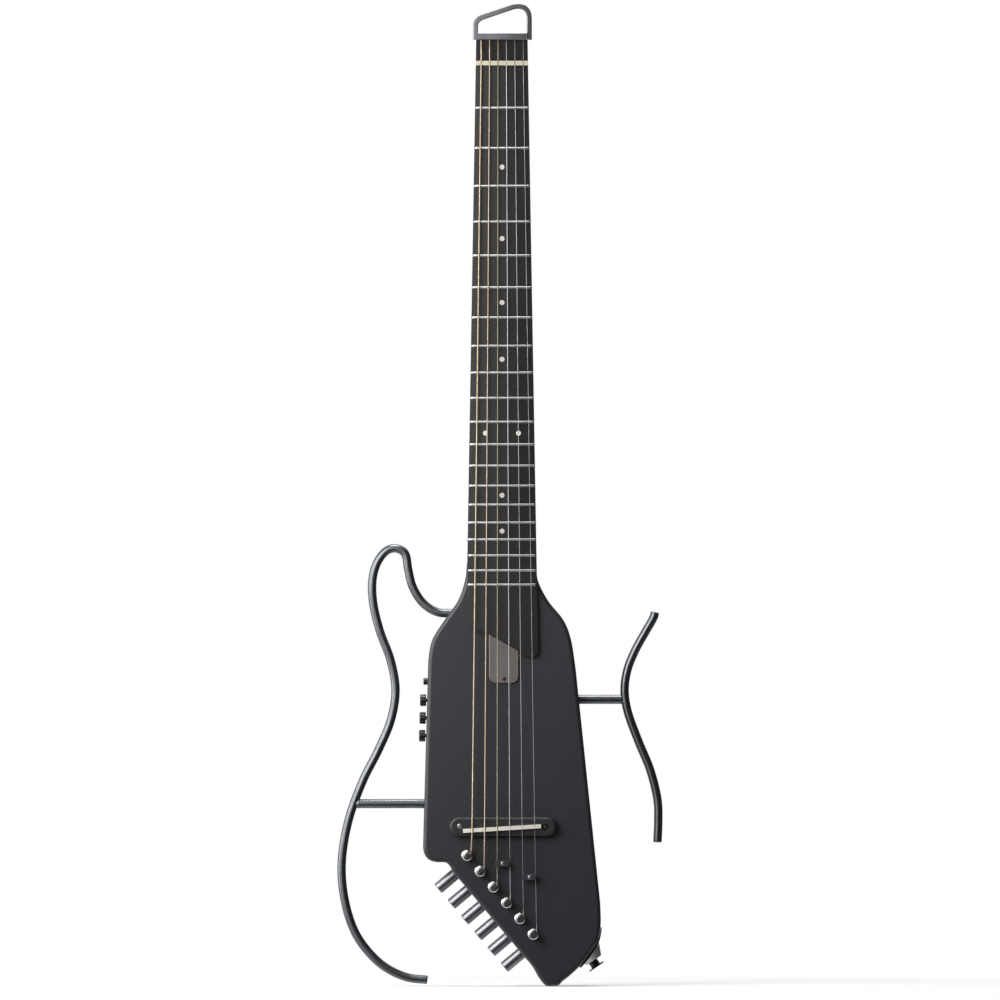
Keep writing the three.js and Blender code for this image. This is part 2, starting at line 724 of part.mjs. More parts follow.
// Fingerboard with a crowned top, frets seated in it, and a swept end over the body
const tonguePoints = placed(tongueShares, 0, tongueStartZ, boardEndHalfWidth, tongueLength);

function boardOutline(inset, topZ) {
  const shape = outline([
    [-boardNutHalfWidth + inset, topZ],
    ...tonguePoints.map(([x, z]) => [x - Math.sign(x) * inset, z]),
    [boardNutHalfWidth - inset, topZ],
  ]);
  return shape;
}

// Points across the neck, crowned like the fingerboard, at a height above the body face.
function crownLine(half, height, z, centre = 0) {
  const points = [];
  for (let step = 0; step <= crownSteps; step += 1) {
    const x = THREE.MathUtils.lerp(-half, half, step / crownSteps);
    points.push(at(x, -height + crownDrop(x + centre), z));
  }
  return points;
}

// A block between two places along the neck whose front face has that crown.
function crowned(half, height, rear, low, high, centre = 0) {
  const ring = (z) => [at(half, -rear, z), at(-half, -rear, z), ...crownLine(half, height, z, centre)];
  return skin([ring(high), ring(low)]);
}

function fretGeometry(fret) {
  const z = nutZ - fretDistance(fret);
  const half = boardEndHalfWidth + overrun;
  const ring = (height, width) => [
    ...crownLine(half, height, z + width / 2),
    ...crownLine(half, height, z - width / 2).reverse(),
  ];
  const foot = ring(boardThickness - fretHeight, fretWidth);
  return skin([foot, ring(boardThickness + fretHeight, fretCrownWidth)]);
}

function fingerboardGeometry() {
  const boardTopZ = nutZ - glueLine;
  const slab = crowned(boardEndHalfWidth + overrun, boardThickness, glueLine, boardEndZ - overrun, boardTopZ);
  const shape = solid(plate(boardOutline(0, boardTopZ), -boardThickness - 2 * fretHeight, overrun));
  let board = solid(slab);
  for (let fret = 1; fret <= fretCount; fret += 1) {
    board = board.add(solid(fretGeometry(fret)));
  }
  return board.intersect(shape);
}
piece('fingerboard', surface(fingerboardGeometry()), looks.ebony);

// Truss rod cover: a small plate whose top edge follows the fingerboard's swept end
function tongueZAt(x) {
  const index = tonguePoints.findIndex(([px]) => px > x);
  const [x0, z0] = tonguePoints[index - 1];
  const [x1, z1] = tonguePoints[index];
  return THREE.MathUtils.mapLinear(x, x0, x1, z0, z1);
}

function trussCoverGeometry() {
  const bottom = boardEndZ - coverBeyondBoard;
  const shape = new THREE.Shape();
  const edgeGap = 2 * fitGap;
  shape.moveTo(-coverLeft, tongueZAt(-coverLeft) - edgeGap);
  shape.lineTo(-coverLeft, bottom + coverCorner);
  shape.quadraticCurveTo(-coverLeft, bottom, -coverLeft + coverCorner, bottom);
  shape.lineTo(coverRight - coverCorner, bottom);
  shape.quadraticCurveTo(coverRight, bottom, coverRight, bottom + coverCorner);
  shape.lineTo(coverRight, tongueZAt(coverRight) - edgeGap);
  return plate(shape, -coverThickness - glueLine, -glueLine);
}
piece('truss_rod_cover', surface(solid(trussCoverGeometry())), looks.coverPlate);

// Height of a string's underside above the body face, crowned like the frets
const nutPlaces = stringGauges.map((_, index) => spread(index, nutSpread, nutShift));
const saddlePlaces = stringGauges.map((_, index) => spread(index, saddleSpread, saddleShift));
const saddleLineZ = (x) => saddleZ + (x - saddleShift) * Math.tan(saddleSlant);
const nutUnderside = (x) => nutStringHeight - crownDrop(x);
const saddleUnderside = (x) => saddleStringHeight - crownDrop(x);

function stringSlot(x, underside, gauge, low, high) {
  const half = gauge / 2 + stringGap;
  return block(x - half, x + half, -underside - gauge - 2 * overrun, -underside + stringGap, low, high);
}

function nutGeometry() {
  const height = nutStringHeight + nutOverString;
  let nut = solid(crowned(nutHalfWidth, height, glueLine, nutZ, nutZ + nutLength));
  nutPlaces.forEach((x, index) => {
    nut = nut.subtract(solid(stringSlot(x, nutUnderside(x), stringGauges[index], nutZ - overrun,
      nutZ + nutLength + overrun)));
  });
  return nut;
}
piece('nut', surface(nutGeometry()), looks.ivory);

// Bar at the end of the neck, with a hole and a ball pocket for each string
function headBarGeometry() {
  const shape = new THREE.Shape();
  const low = -barFront;
  const high = barBack;
  shape.moveTo(low + barChamfer, barBottomZ);
  shape.lineTo(high - barChamfer, barBottomZ);
  shape.lineTo(high, barBottomZ + barChamfer);
  shape.lineTo(high, barTopZ - barChamfer);
  shape.lineTo(high - barChamfer, barTopZ);
  shape.lineTo(low + barChamfer, barTopZ);
  shape.lineTo(low, barTopZ - barChamfer);
  shape.lineTo(low, barBottomZ + barChamfer);
  const geometry = new THREE.ExtrudeGeometry(shape, { depth: 2 * barHalfWidth, bevelEnabled: false });
  geometry.applyMatrix4(new THREE.Matrix4().makeBasis(back, up, right));
  let body = solid(geometry.translate(loopShift - barHalfWidth, 0, 0));
  nutPlaces.forEach((x) => {
    const y = -anchorStringHeight;
    body = cut(
      body,
      solid(bar(at(x, y, barTopZ + overrun), down, barHeight + 2 * overrun, anchorHoleRadius, slimSides)),
      solid(bar(at(x, y, barTopZ + overrun), down, ballPocketDepth + overrun, ballPocketRadius, boreSides)),
    );
  });
  return body;
}
piece('head_bar', surface(headBarGeometry()), looks.gunmetal);

// Hanging loop: a bent strip whose legs clasp the ends of the bar
function loopGeometry() {
  const onLoop = (shares) => placed(shares, loopShift, loopCrest, loopHalfWidth, loopCrest - barTopZ);
  const [leftStart, ...leftBend] = onLoop(loopLeftCornerShares);
  const [rightStart, ...rightBend] = onLoop(loopRightCornerShares);
  const path = new THREE.Path();
  path.moveTo(loopShift - loopHalfWidth, barBottomZ);
  path.lineTo(...leftStart);
  path.quadraticCurveTo(...leftBend.flat());
  path.lineTo(...rightStart);
  path.bezierCurveTo(...rightBend.flat());
  path.lineTo(loopShift + loopHalfWidth, barBottomZ);
  const apart = (point, index, all) => index === 0 || point.distanceTo(all[index - 1]) > 0;
  const points = path.getPoints(loopSteps).filter(apart);
  const halfThickness = loopThickness / 2;
  const halfDepth = loopDepth / 2;
  const rings = points.map((point, index) => {
    const before = points[Math.max(index - 1, 0)];
    const after = points[Math.min(index + 1, points.length - 1)];
    const along = after.clone().sub(before).normalize();
    const outward = new THREE.Vector2(-along.y, along.x);
    const corners = [
      [-halfThickness + loopEdge, -halfDepth], [halfThickness - loopEdge, -halfDepth],
      [halfThickness, -halfDepth + loopEdge], [halfThickness, halfDepth - loopEdge],
      [halfThickness - loopEdge, halfDepth], [-halfThickness + loopEdge, halfDepth],
      [-halfThickness, halfDepth - loopEdge], [-halfThickness, -halfDepth + loopEdge],
    ];
    return corners.map(([out, depth]) => at(point.x + outward.x * out, depth, point.y + outward.y * out));
  });
  return skin(rings);
}
const headBarEnds = block(loopShift - barHalfWidth - glueLine, loopShift + barHalfWidth + glueLine, -barFront,
  barBack, barBottomZ - overrun, barTopZ);
piece('head_loop', surface(solid(loopGeometry()).subtract(solid(headBarEnds))), looks.gunmetal);

// Bridge: a low stadium with a slanted slot through it for the saddle
function saddleSlot(thickness, length, low, high) {
  const geometry = block(-length / 2, length / 2, low, high, -thickness / 2, thickness / 2);
  return geometry.rotateY(-saddleSlant).translate(saddleShift, 0, saddleLineZ(saddleShift));
}

function bridgeGeometry() {
  const end = bridgeWidth / 2;
  const straight = bridgeLength / 2 - end;
  const shape = new THREE.Shape();
  shape.moveTo(-straight, -end);
  shape.lineTo(straight, -end);
  shape.absarc(straight, 0, end, -Math.PI / 2, Math.PI / 2, false);
  shape.lineTo(-straight, end);
  shape.absarc(-straight, 0, end, Math.PI / 2, 3 * Math.PI / 2, false);
  const foot = bridgeEdge + overrun;
  const tall = roundedPlate(shape, -bridgeHeight, foot, bridgeEdge, 2, 6).translate(bridgeShift, 0, bridgeZ);
  const ground = block(-bridgeLength, bridgeLength, -glueLine, foot + overrun, bridgeZ - bridgeWidth,
    bridgeZ + bridgeWidth);
  const slot = saddleSlot(saddleThickness + 2 * stringGap, saddleLength + 2 * fitGap, -bridgeHeight - overrun,
    overrun);
  return cut(solid(tall), solid(ground), solid(slot));
}
piece('bridge', surface(bridgeGeometry()), looks.blackPlastic);

piece('saddle_pickup', surface(solid(saddleSlot(pickupThickness, saddleLength - across(saddleThickness),
  -pickupHeight, -glueLine))), looks.brass);

function saddleGeometry() {
  const height = saddleStringHeight - stringGap + saddleOverString;
  const edge = saddleThickness / 2;
  const bone = crowned(saddleLength / 2, height, pickupHeight + glueLine, -edge, edge, saddleShift);
  let saddle = solid(bone.rotateY(-saddleSlant).translate(saddleShift, 0, saddleLineZ(saddleShift)));
  saddlePlaces.forEach((x, index) => {
    const z = saddleLineZ(x);
    saddle = saddle.subtract(solid(stringSlot(x, saddleUnderside(x) - stringGap, stringGauges[index],
      z - saddleThickness, z + saddleThickness)));
  });
  return saddle;
}
piece('saddle', surface(saddleGeometry()), looks.ivory);

// Strings: one unbroken tube each, from the ball in the bar to the winding on its post
const windingRadius = (gauge) => postWaistRadius + fitGap + gauge / 2;
const shoulderTop = bushingRingHeight + runningGap + postShoulderHeight;
const windingBase = (gauge) => shoulderTop + windingStart + gauge / 2;
const windingPitch = (gauge) => gauge + windingGap;

function stringPath(index) {
  const gauge = stringGauges[index];
  const nutX = nutPlaces[index];
  const saddleX = saddlePlaces[index];
  const post = postPlaces[index];
  const ballTop = barTopZ - (ballPocketDepth - ballLength) + stringGap;
  const points = [];
  const radii = [];
  const add = (point, radius = gauge / 2) => {
    points.push(point);
    radii.push(radius);
  };
  const anchorY = -anchorStringHeight;
  add(at(nutX, anchorY, ballTop), ballRadius);
  add(at(nutX, anchorY, ballTop - ballLength + gauge / 2), ballRadius);
  add(at(nutX, anchorY, ballTop - ballLength));
  add(at(nutX, anchorY, barBottomZ));
  const nutY = -nutUnderside(nutX) - gauge / 2;
  add(at(nutX, nutY, nutZ + nutLength));
  add(at(nutX, nutY, nutZ));
  const breakZ = saddleLineZ(saddleX) - saddleThickness / 2 - stringGap;
  add(at(saddleX, -saddleUnderside(saddleX) - gauge / 2, breakZ));
  const base = -windingBase(gauge);
  const radius = windingRadius(gauge);
  let last = at(saddleX, 0, breakZ);
  for (const retainer of retainers) {
    if (retainer.strings.includes(index)) {
      const z = saddleZ - retainer.drop;
      const share = (last.z - z) / (last.z - post.z);
      last = at(THREE.MathUtils.lerp(saddleX, post.x + radius, share), base, z);
      add(at(last.x, base, z + retainerWidth / 2));
      add(at(last.x, base, z - retainerWidth / 2));
    }
  }
  const reach = Math.hypot(last.x - post.x, last.z - post.z);
  const start = Math.atan2(last.z - post.z, last.x - post.x) - Math.acos(radius / reach);
  const steps = windingTurns * windingStepsPerTurn;
  for (let step = 0; step <= steps; step += 1) {
    const turn = step / windingStepsPerTurn;
    const angle = start - turn * 2 * Math.PI;
    const depth = base - turn * windingPitch(gauge);
    add(at(post.x + radius * Math.cos(angle), depth, post.z + radius * Math.sin(angle)));
  }
  return { points, radii };
}

// The least distance between surfaces of a winding's turns, measured on its points.
function leastSelfGap(points, gauge) {
  const turns = points.slice(-windingTurns * windingStepsPerTurn);
  let least = Infinity;
  turns.forEach((point, index) => {
    for (let other = index + windingStepsPerTurn / 2; other < turns.length; other += 1) {
      least = Math.min(least, point.distanceTo(turns[other]) - gauge);
    }
  });
  return least;
}

stringGauges.forEach((gauge, index) => {
  const { points, radii } = stringPath(index);
  const material = index < stringGauges.length / 2 ? looks.bronze : looks.plainSteel;
  piece(`string_${index + 1}`, tube(points, radii, windingSides), material);
  console.log(`string_${index + 1} least gap to itself ${leastSelfGap(points, gauge).toFixed(2)} mm`);
});

// Retainers: short bars on a stem that press two strings each towards the body
retainers.forEach((retainer, order) => {
  const z = saddleZ - retainer.drop;
  const gauge = Math.max(...retainer.strings.map((index) => stringGauges[index]));
  const underside = windingBase(gauge) + gauge / 2 + stringGap;
  const top = underside + retainerThickness;
  const half = retainerLength / 2;
  const wings = roundedPlate(roundedBox(-half, half, -retainerWidth / 2, retainerWidth / 2, retainerWidth / 4),
    -top, -underside, retainerThickness / 5, 1, 2).translate(retainer.shift, 0, z);
  const stem = bar(at(retainer.shift, -glueLine, z), front, underside + retainerThickness / 2 - glueLine,
    retainerStemRadius, boreSides);
  piece(`string_retainer_${order + 1}`, surface(join(solid(wings), solid(stem))), looks.blackPlastic);
});

// Tuners: the feature that takes the most skill. Each has a housing with a bushing through the ledge,
// a post with its worm wheel, and a knob with its worm, in a group turned to the cut edge.
function wheelShape() {
  const shape = new THREE.Shape();
  const toothShares = [[0, 0], [0.35, 1], [0.7, 0]];
  for (let tooth = 0; tooth < gearRatio; tooth += 1) {
    for (const [turn, rise] of toothShares) {
      const angle = ((tooth + turn) / gearRatio) * 2 * Math.PI;
      const radius = wheelRadius - wheelToothDepth * (1 - rise);
      const point = [radius * Math.cos(angle), radius * Math.sin(angle)];
      if (tooth === 0 && turn === 0) {
        shape.moveTo(...point);
      } else {
        shape.lineTo(...point);
      }
    }
  }
  return shape;
}

function postGeometry() {
  const waist = shoulderTop + postWaistHeight;
  const flare = waist + postFlareHeight;
  const top = flare + postCapHeight;
  const foot = wormDepth + wheelWidth / 2 + overrun / 2;
  const profile = [
    [-foot, 0], [-foot, postRadius], [shoulderTop - postShoulderHeight, postRadius],
    [shoulderTop - postShoulderHeight, postShoulderRadius], [shoulderTop, postShoulderRadius],
    [shoulderTop, postWaistRadius], [waist, postWaistRadius], [flare, postCapRadius],
    [top - postCapHeight / 2, postCapRadius], [top, postCapRadius - postCapHeight / 2], [top, 0],
  ];
  const stem = solid(turned(profile, at(0, 0, 0), front, boreSides));
  const halfSlot = postSlotWidth / 2;
  const reach = postCapRadius + overrun;
  const slot = solid(block(-reach, reach, -top - overrun, -top + postSlotDepth, -halfSlot, halfSlot));
  const wheel = solid(plate(wheelShape(), wormDepth - wheelWidth / 2, wormDepth + wheelWidth / 2));
  return join(cut(stem, slot), wheel);
}

function knobGeometry() {
  const inner = -housingInner + housingWall / 2;
  const wormHalf = (wormRidges * wormPitch) / 2;
  const root = wormRadius - wormToothDepth;
  const profile = [[inner, 0], [inner, shaftRadius], [-wormHalf, shaftRadius]];
  for (let ridge = 0; ridge < wormRidges; ridge += 1) {
    const startAlong = -wormHalf + ridge * wormPitch;
    profile.push([startAlong, root], [startAlong + wormPitch / 2, wormRadius]);
  }
  profile.push([wormHalf, root], [wormHalf, shaftRadius], [knobStart, shaftRadius]);
  profile.push([knobStart, knobRadius - knobEdge], [knobStart + knobEdge, knobRadius]);
  profile.push([knobEnd - knobEdge, knobRadius], [knobEnd, knobRadius - knobEdge], [knobEnd, 0]);
  return solid(turned(profile, at(0, wormDepth, wormOffset), right, boreSides));
}

function housingGeometry() {
  const top = ledgeThickness + glueLine;
  const bottom = top + housingDepth;
  const box = solid(block(-housingInner, housingOuter, top, bottom, -housingLow, housingHigh));
  const hollow = solid(block(-housingInner + housingWall, housingOuter - housingWall, top + housingWall,
    bottom + overrun, -housingLow + housingWall, housingHigh - housingWall));
  const sleeve = solid(bar(at(0, top + housingWall, 0), front, top + housingWall + bushingRingHeight,
    bushingRadius, boreSides));
  const ring = solid(turned([[glueLine, 0], [glueLine, bushingRingRadius],
    [bushingRingHeight / 2, bushingRingRadius], [bushingRingHeight, bushingRingRadius - bushingRingHeight / 3],
    [bushingRingHeight, 0]], at(0, 0, 0), front, collarSides));
  const postBore = solid(bar(at(0, bottom, 0), front, bottom + bushingRingHeight + overrun,
    postRadius + runningGap, boreSides));
  const shaftBore = solid(bar(at(-housingInner - overrun, wormDepth, wormOffset), right,
    housingInner + housingOuter + 2 * overrun, shaftRadius + runningGap, slimSides));
  return cut(join(cut(box, hollow), sleeve, ring), postBore, shaftBore);
}

const housingSurface = surface(housingGeometry());
const postSurface = surface(postGeometry());
const knobSurface = surface(knobGeometry());
postPlaces.forEach((place, index) => {
  const tuner = new THREE.Group();
  tuner.position.copy(place);
  tuner.rotation.y = Math.PI / 2 + tunerTurn;
  guitar.add(tuner);
  piece(`tuner_housing_${index + 1}`, housingSurface.clone(), looks.chrome, tuner);
  piece(`tuner_post_${index + 1}`, postSurface.clone(), looks.chrome, tuner);
  piece(`tuner_knob_${index + 1}`, knobSurface.clone(), looks.gunmetal, tuner);
});

// Frame rods, their struts and the sleeves that hold their pegs
const leftSteps = 48;
const rightSteps = 20;
const leftRodSolid = solid(rodAlong(leftRoute, leftSteps, rodRadius, rodSides,
  [at(upperPegEnd - fitGap, rodDepth, upperPegZ)]));
const rightRodSolid = solid(rodAlong(rightRoute, rightSteps, rodRadius, rodSides));
piece('left_frame_rod', surface(leftRodSolid), looks.gunmetal);
piece('right_frame_rod', surface(rightRodSolid), looks.gunmetal);

function strutGeometry(pegEnd, z, route, steps) {
  const meet = crossing(route, z, steps);
  const direction = meet < 0 ? left : right;
  const strut = solid(bar(at(pegEnd, rodDepth, z), direction, Math.abs(meet - pegEnd), rodRadius, rodSides));
  const coped = strut.subtract(solid(rodAlong(route, steps, rodRadius + fitGap, rodSides)));
  return coped.decompose().reduce((best, part) => (part.volume() > best.volume() ? part : best));
}
piece('left_strut', surface(strutGeometry(lowerPegEnd - fitGap, leftStrutZ, leftRoute, leftSteps)),
  looks.gunmetal);
piece('right_strut', surface(strutGeometry(rightPegEnd + fitGap, rightStrutZ, rightRoute, rightSteps)),
  looks.gunmetal);

function sleeve(start, end, z) {
  const outwards = Math.sign(start - end) * overrun;
  const bore = sleeveBore(start + outwards, end - outwards, z, rodRadius + runningGap, rodSides);
  return surface(solid(sleeveBore(start, end, z, socketRadius)).subtract(solid(bore)));
}
piece('frame_sleeve_upper_left', sleeve(upperPegEntry + fitGap, upperPegEnd, upperPegZ), looks.brass);
piece('frame_sleeve_lower_left', sleeve(lowerPegEntry, lowerPegEnd, leftStrutZ), looks.brass);
piece('frame_sleeve_right', sleeve(rightPegEntry, rightPegEnd, rightStrutZ), looks.brass);

// Side controls: knobs on pots, and a push button on its switch
knobPlaces.forEach((z, index) => {
  const side = leftSideAt(z);
  const inside = controlsFace + potLength;
  const shaftEnd = controlsFace + potLength / 2;
  const knobFace = side - controlKnobStandoff - controlKnobLength;
  const knobProfile = [
    [0, 0], [0, controlKnobRadius - controlKnobEdge], [controlKnobEdge, controlKnobRadius],
    [controlKnobLength, controlKnobRadius], [controlKnobLength, controlShaftRadius],
    [shaftEnd - knobFace, controlShaftRadius], [shaftEnd - knobFace, 0],
  ];
  const knob = solid(turned(knobProfile, at(knobFace, controlDepth, z), right, roundSides));
  piece(`control_knob_${index + 1}`, surface(knob), looks.blackGloss);
  const can = solid(bar(at(controlsFace, controlDepth, z), right, potLength, potRadius));
  const neckStart = side + overrun / 2;
  const neck = solid(bar(at(neckStart, controlDepth, z), right, inside - neckStart, potBushingRadius,
    controlSides));
  const boreStart = neckStart - overrun;
  const bore = solid(bar(at(boreStart, controlDepth, z), right, shaftEnd + fitGap - boreStart,
    controlShaftRadius + runningGap, controlSides));
  piece(`potentiometer_${index + 1}`, surface(cut(join(can, neck), bore)), looks.steel);
});

const buttonSide = leftSideAt(buttonZ);
const buttonFace = buttonSide - buttonProud;
const stemEnd = controlsFace + potLength / 4;
const buttonCapEnd = buttonSide + overrun / 2;
const buttonProfile = [
  [0, 0], [0, buttonRadius - controlKnobEdge], [controlKnobEdge, buttonRadius],
  [buttonCapEnd - buttonFace, buttonRadius], [buttonCapEnd - buttonFace, buttonStemRadius],
  [stemEnd - buttonFace, buttonStemRadius], [stemEnd - buttonFace, 0],
];
piece('push_button', surface(solid(turned(buttonProfile, at(buttonFace, controlDepth, buttonZ), right,
  collarSides))), looks.blackGloss);

const switchHalf = switchWidth / 2;
const switchBox = solid(block(controlsFace, controlsFace + potLength, controlDepth - switchHalf,
  controlDepth + switchHalf, buttonZ - switchHalf, buttonZ + switchHalf));
const switchBore = solid(bar(at(controlsFace - overrun, controlDepth, buttonZ), right,
  overrun + potLength / 4 + buttonTravel + fitGap, buttonStemRadius + runningGap, boreSides));
piece('button_switch', surface(switchBox.subtract(switchBore)), looks.blackPlastic);

const boardLow = knobPlaces.at(-1) - boardPlateMargin;
const boardHigh = buttonZ + boardPlateMargin / 2;
const boardFront = cavityFloor + fitGap;
piece('circuit_board', block(circuitFace, circuitFace + boardPlateThickness, boardFront,
  boardFront + boardPlateDepth, boardLow, boardHigh), looks.circuit);

const batteryShape = roundedBox(batteryLeft, batteryLeft + batteryWidth,
  cavityTopZ - coverLip - batteryLength, cavityTopZ - coverLip, batteryCorner);
piece('battery', roundedPlate(batteryShape, cavityFloor + fitGap, cavityFloor + fitGap + batteryThickness,
  batteryCorner / 2, 1, 2), looks.battery);

// Strap boss: a plate along the body's edge, a cone on it and a strap button on the cone
const bossAxis = at(Math.cos(bossTurn), 0, -Math.sin(bossTurn));
const [[bossSeatX, bossSeatZ]] = onTip(bossSeatShares);
const bossFace = at(bossSeatX, rodDepth, bossSeatZ).addScaledVector(bossAxis, bossProud);
const bodySlabMoved = (distance) => {
  const slab = plate(bodyShape, -overrun, bodyThickness + overrun, bodyCurveSteps);
  return solid(slab.translate(bossAxis.x * distance, 0, bossAxis.z * distance));
};
const bossRoot = bossFace.clone().addScaledVector(bossAxis, -bossLength);
const plateTop = bossPlateThickness + fitGap;

const bossPlateBlank = solid(block(-bossLength, bossLength, -bossPlateHalfWidth, bossPlateHalfWidth,
  -bossPlateBelow, bossPlateAbove)
  .rotateY(bossTurn - bossPlateSkew).translate(bossFace.x, bossFace.y, bossFace.z));
const bossPlate = cut(bossPlateBlank.intersect(bodySlabMoved(plateTop)), bodySlabMoved(fitGap))
  .decompose().reduce((best, part) => (part.volume() > best.volume() ? part : best));
piece('strap_boss_plate', surface(bossPlate), looks.blackPlastic);

const bossCone = solid(bar(bossRoot, bossAxis, bossLength, bossInnerRadius, flangeSides, bossOuterRadius));
piece('strap_boss', surface(bossCone.subtract(bodySlabMoved(plateTop + fitGap))), looks.gunmetal);

const strapProfile = [
  [glueLine, 0], [glueLine, strapNeckRadius], [strapNeckLength, strapNeckRadius],
  [strapNeckLength, strapFlangeRadius], [strapNeckLength + strapFlangeThickness, strapFlangeRadius],
  [strapNeckLength + strapFlangeThickness, strapRecessRadius],
  [strapNeckLength + strapFlangeThickness - strapRecessDepth, strapRecessRadius],
  [strapNeckLength + strapFlangeThickness - strapRecessDepth, 0],
];
piece('strap_button', surface(solid(turned(strapProfile, bossFace, bossAxis))), looks.blackPlastic);

export default guitar;
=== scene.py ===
from math import acos, atan2, cos, hypot, pi, radians, sin, sqrt, tan

import bmesh
import bpy
from mathutils import Matrix, Vector


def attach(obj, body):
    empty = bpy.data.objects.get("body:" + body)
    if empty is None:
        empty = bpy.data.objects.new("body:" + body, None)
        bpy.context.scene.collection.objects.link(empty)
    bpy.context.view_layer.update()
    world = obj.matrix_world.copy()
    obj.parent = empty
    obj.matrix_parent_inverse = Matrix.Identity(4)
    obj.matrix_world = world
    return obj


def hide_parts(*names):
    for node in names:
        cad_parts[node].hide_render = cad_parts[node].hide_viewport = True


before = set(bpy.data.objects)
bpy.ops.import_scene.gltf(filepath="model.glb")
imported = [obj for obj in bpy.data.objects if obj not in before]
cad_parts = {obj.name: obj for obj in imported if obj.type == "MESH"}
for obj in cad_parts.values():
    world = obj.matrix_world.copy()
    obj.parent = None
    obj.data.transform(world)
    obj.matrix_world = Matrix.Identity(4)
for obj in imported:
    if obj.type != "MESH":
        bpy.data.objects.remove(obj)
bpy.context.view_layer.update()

# Lengths are in millimetres, as in the part's source, and turn into metres where a mesh is made.
MM = 0.001
FRONT, BACK = Vector((0, -1, 0)), Vector((0, 1, 0))
LEFT, RIGHT = Vector((-1, 0, 0)), Vector((1, 0, 0))
UP, DOWN = Vector((0, 0, 1)), Vector((0, 0, -1))
scene = bpy.context.scene

# Sizes of the part, as in its source: strings, neck and fingerboard
scale_length = 647.7
fret_count = 20
gauges = [1.35, 1.07, 0.81, 0.61, 0.41, 0.3]
string_count = len(gauges)
nut_spread, nut_shift = 35.9, 0.35
saddle_spread, saddle_shift = 53.4, 1.3
saddle_slant = radians(3.5)
saddle_setback, saddle_thickness = 4.3, 3.4
crown_radius = 406
loop_drop, bar_height = 16.3, 6.3
bar_front, bar_back = 7.5, 11.5
anchor_height = 2.6
nut_z, nut_length = -44.5, 3.9
board_nut_half, board_end_half = 22.4, 31
board_thickness, fret_height = 6, 1
board_beyond_frets = 61.3
tongue_length = 33.3
nut_action, saddle_action = 0.4, 4.4
neck_depth_at_head, neck_depth_at_body, neck_cheek = 13, 17, 2
tenon_half, tenon_depth, tenon_length = 21, 13, 62
truss_width, truss_depth, truss_head_setback = 6, 9, 10
truss_pocket_half, truss_pocket_depth, truss_pocket_length = 9, 12, 33.3
cover_left, cover_right, cover_beyond_board, cover_corner = -11, 14.3, 22.7, 6.8

# Body and bridge. front_edge is the scene's own, rounder than the body_edge of the source.
body_join_fret, body_beyond_join = 18, 6
body_width, body_left_share = 153.1, 0.4415
shoulder_length = 83.6
corner_rise, tip_reach = 22.4, 24.5
body_thickness, body_edge, front_edge = 44, 3, 3.4
heel_thickness, heel_length = 24, 46
side_wall = 10.1
cavity_right, cavity_margin, cavity_corner, cavity_floor, cavity_lip = -13.0, 18.3, 8, 8, 5
rear_cover_thickness, rear_cover_corner = 2.5, 12
bridge_shift, bridge_drop = 0.9, 2.7
bridge_length, bridge_width, bridge_height, bridge_edge = 91.4, 16.3, 7.8, 2.2

# Tuners and string retainers
first_post_left, first_post_below_saddle = 29.8, 22.9
tuner_turn = radians(49.96)
tuner_pitch = 17.61
tuner_edge_distance = 18.4
edge_start_past_post, edge_end_past_post = 2.8, 10.6
ledge = 16
ledge_inner_room, ledge_end_margin, ledge_corner = 3.5, 13, 5
housing_inner, housing_outer = 8, 9.6
worm_depth, worm_offset = 22.9, 6
shaft_radius, worm_pitch, worm_ridges, worm_half = 1.5, 2.2, 3, 3.3
gear_teeth, wheel_radius, tooth_depth, wheel_width = 14, 3.85, 0.7, 4
bushing_radius, bushing_height = 3.9, 2.4
post_radius, waist_radius, waist_height = 2.9, 2.5, 6.6
post_shoulder, post_slot = 0.7, 1.5
winding_turns, winding_gap, winding_start = 2, 0.5, 0.5
retainer_length, retainer_width, retainer_thickness, retainer_stem = 12, 5.4, 2.6, 2.2
retainers = [(0.5, 29.9, (2, 3)), (23.6, 41.6, (4, 5))]

# Frame rods and side controls
rod_radius = 3.95
left_frame_rise, left_frame_width, left_frame_height = 12, 73.3, 368.9
right_frame_left, right_frame_drop, right_frame_width, right_frame_height = 104.9, 42.4, 28.9, 196.9
peg_straight, strut_peg_length = 7.74, 24.1
left_strut_rise, right_strut_drop = 35.5, 117.1
socket_radius, sleeve_inset, tenon_side_wall = 6.2, 1.2, 2.5
button_drop, first_knob_drop, knob_pitch, knob_count = 101.7, 117.8, 15.17, 3
control_depth, control_bushing, control_standoff, button_proud = 20, 3, 0.7, 3.7

# Gaps: where a piece sits on another, where it fits into a hole, and how far a tool stands past its cut
seat_gap = 0.05
fit_gap = 0.25
overrun = 2


def fret_z(number):
    return nut_z - scale_length * (1 - 2 ** (-number / 12))


# Places that follow from the sizes
bar_bottom_z = -loop_drop - bar_height
board_end_z = fret_z(fret_count) - board_beyond_frets
body_top_z = fret_z(body_join_fret) - body_beyond_join
body_left = body_left_share * body_width
body_right = body_width - body_left
saddle_z = nut_z - scale_length - saddle_setback
bridge_z = nut_z - scale_length - bridge_drop
rod_y = body_thickness / 2
along_tuners = Vector((cos(tuner_turn), 0, -sin(tuner_turn)))
out_of_edge = Vector((-sin(tuner_turn), 0, -cos(tuner_turn)))
first_post = Vector((-first_post_left, 0, saddle_z - first_post_below_saddle))
posts = [first_post + along_tuners * tuner_pitch * i for i in range(string_count)]
cut_start = posts[0] + out_of_edge * tuner_edge_distance + along_tuners * edge_start_past_post
cut_end = posts[-1] + out_of_edge * tuner_edge_distance + along_tuners * edge_end_past_post
corner_top_z = cut_start.z + corner_rise
button_z = body_top_z - button_drop
knob_zs = [body_top_z - first_knob_drop - knob_pitch * i for i in range(knob_count)]
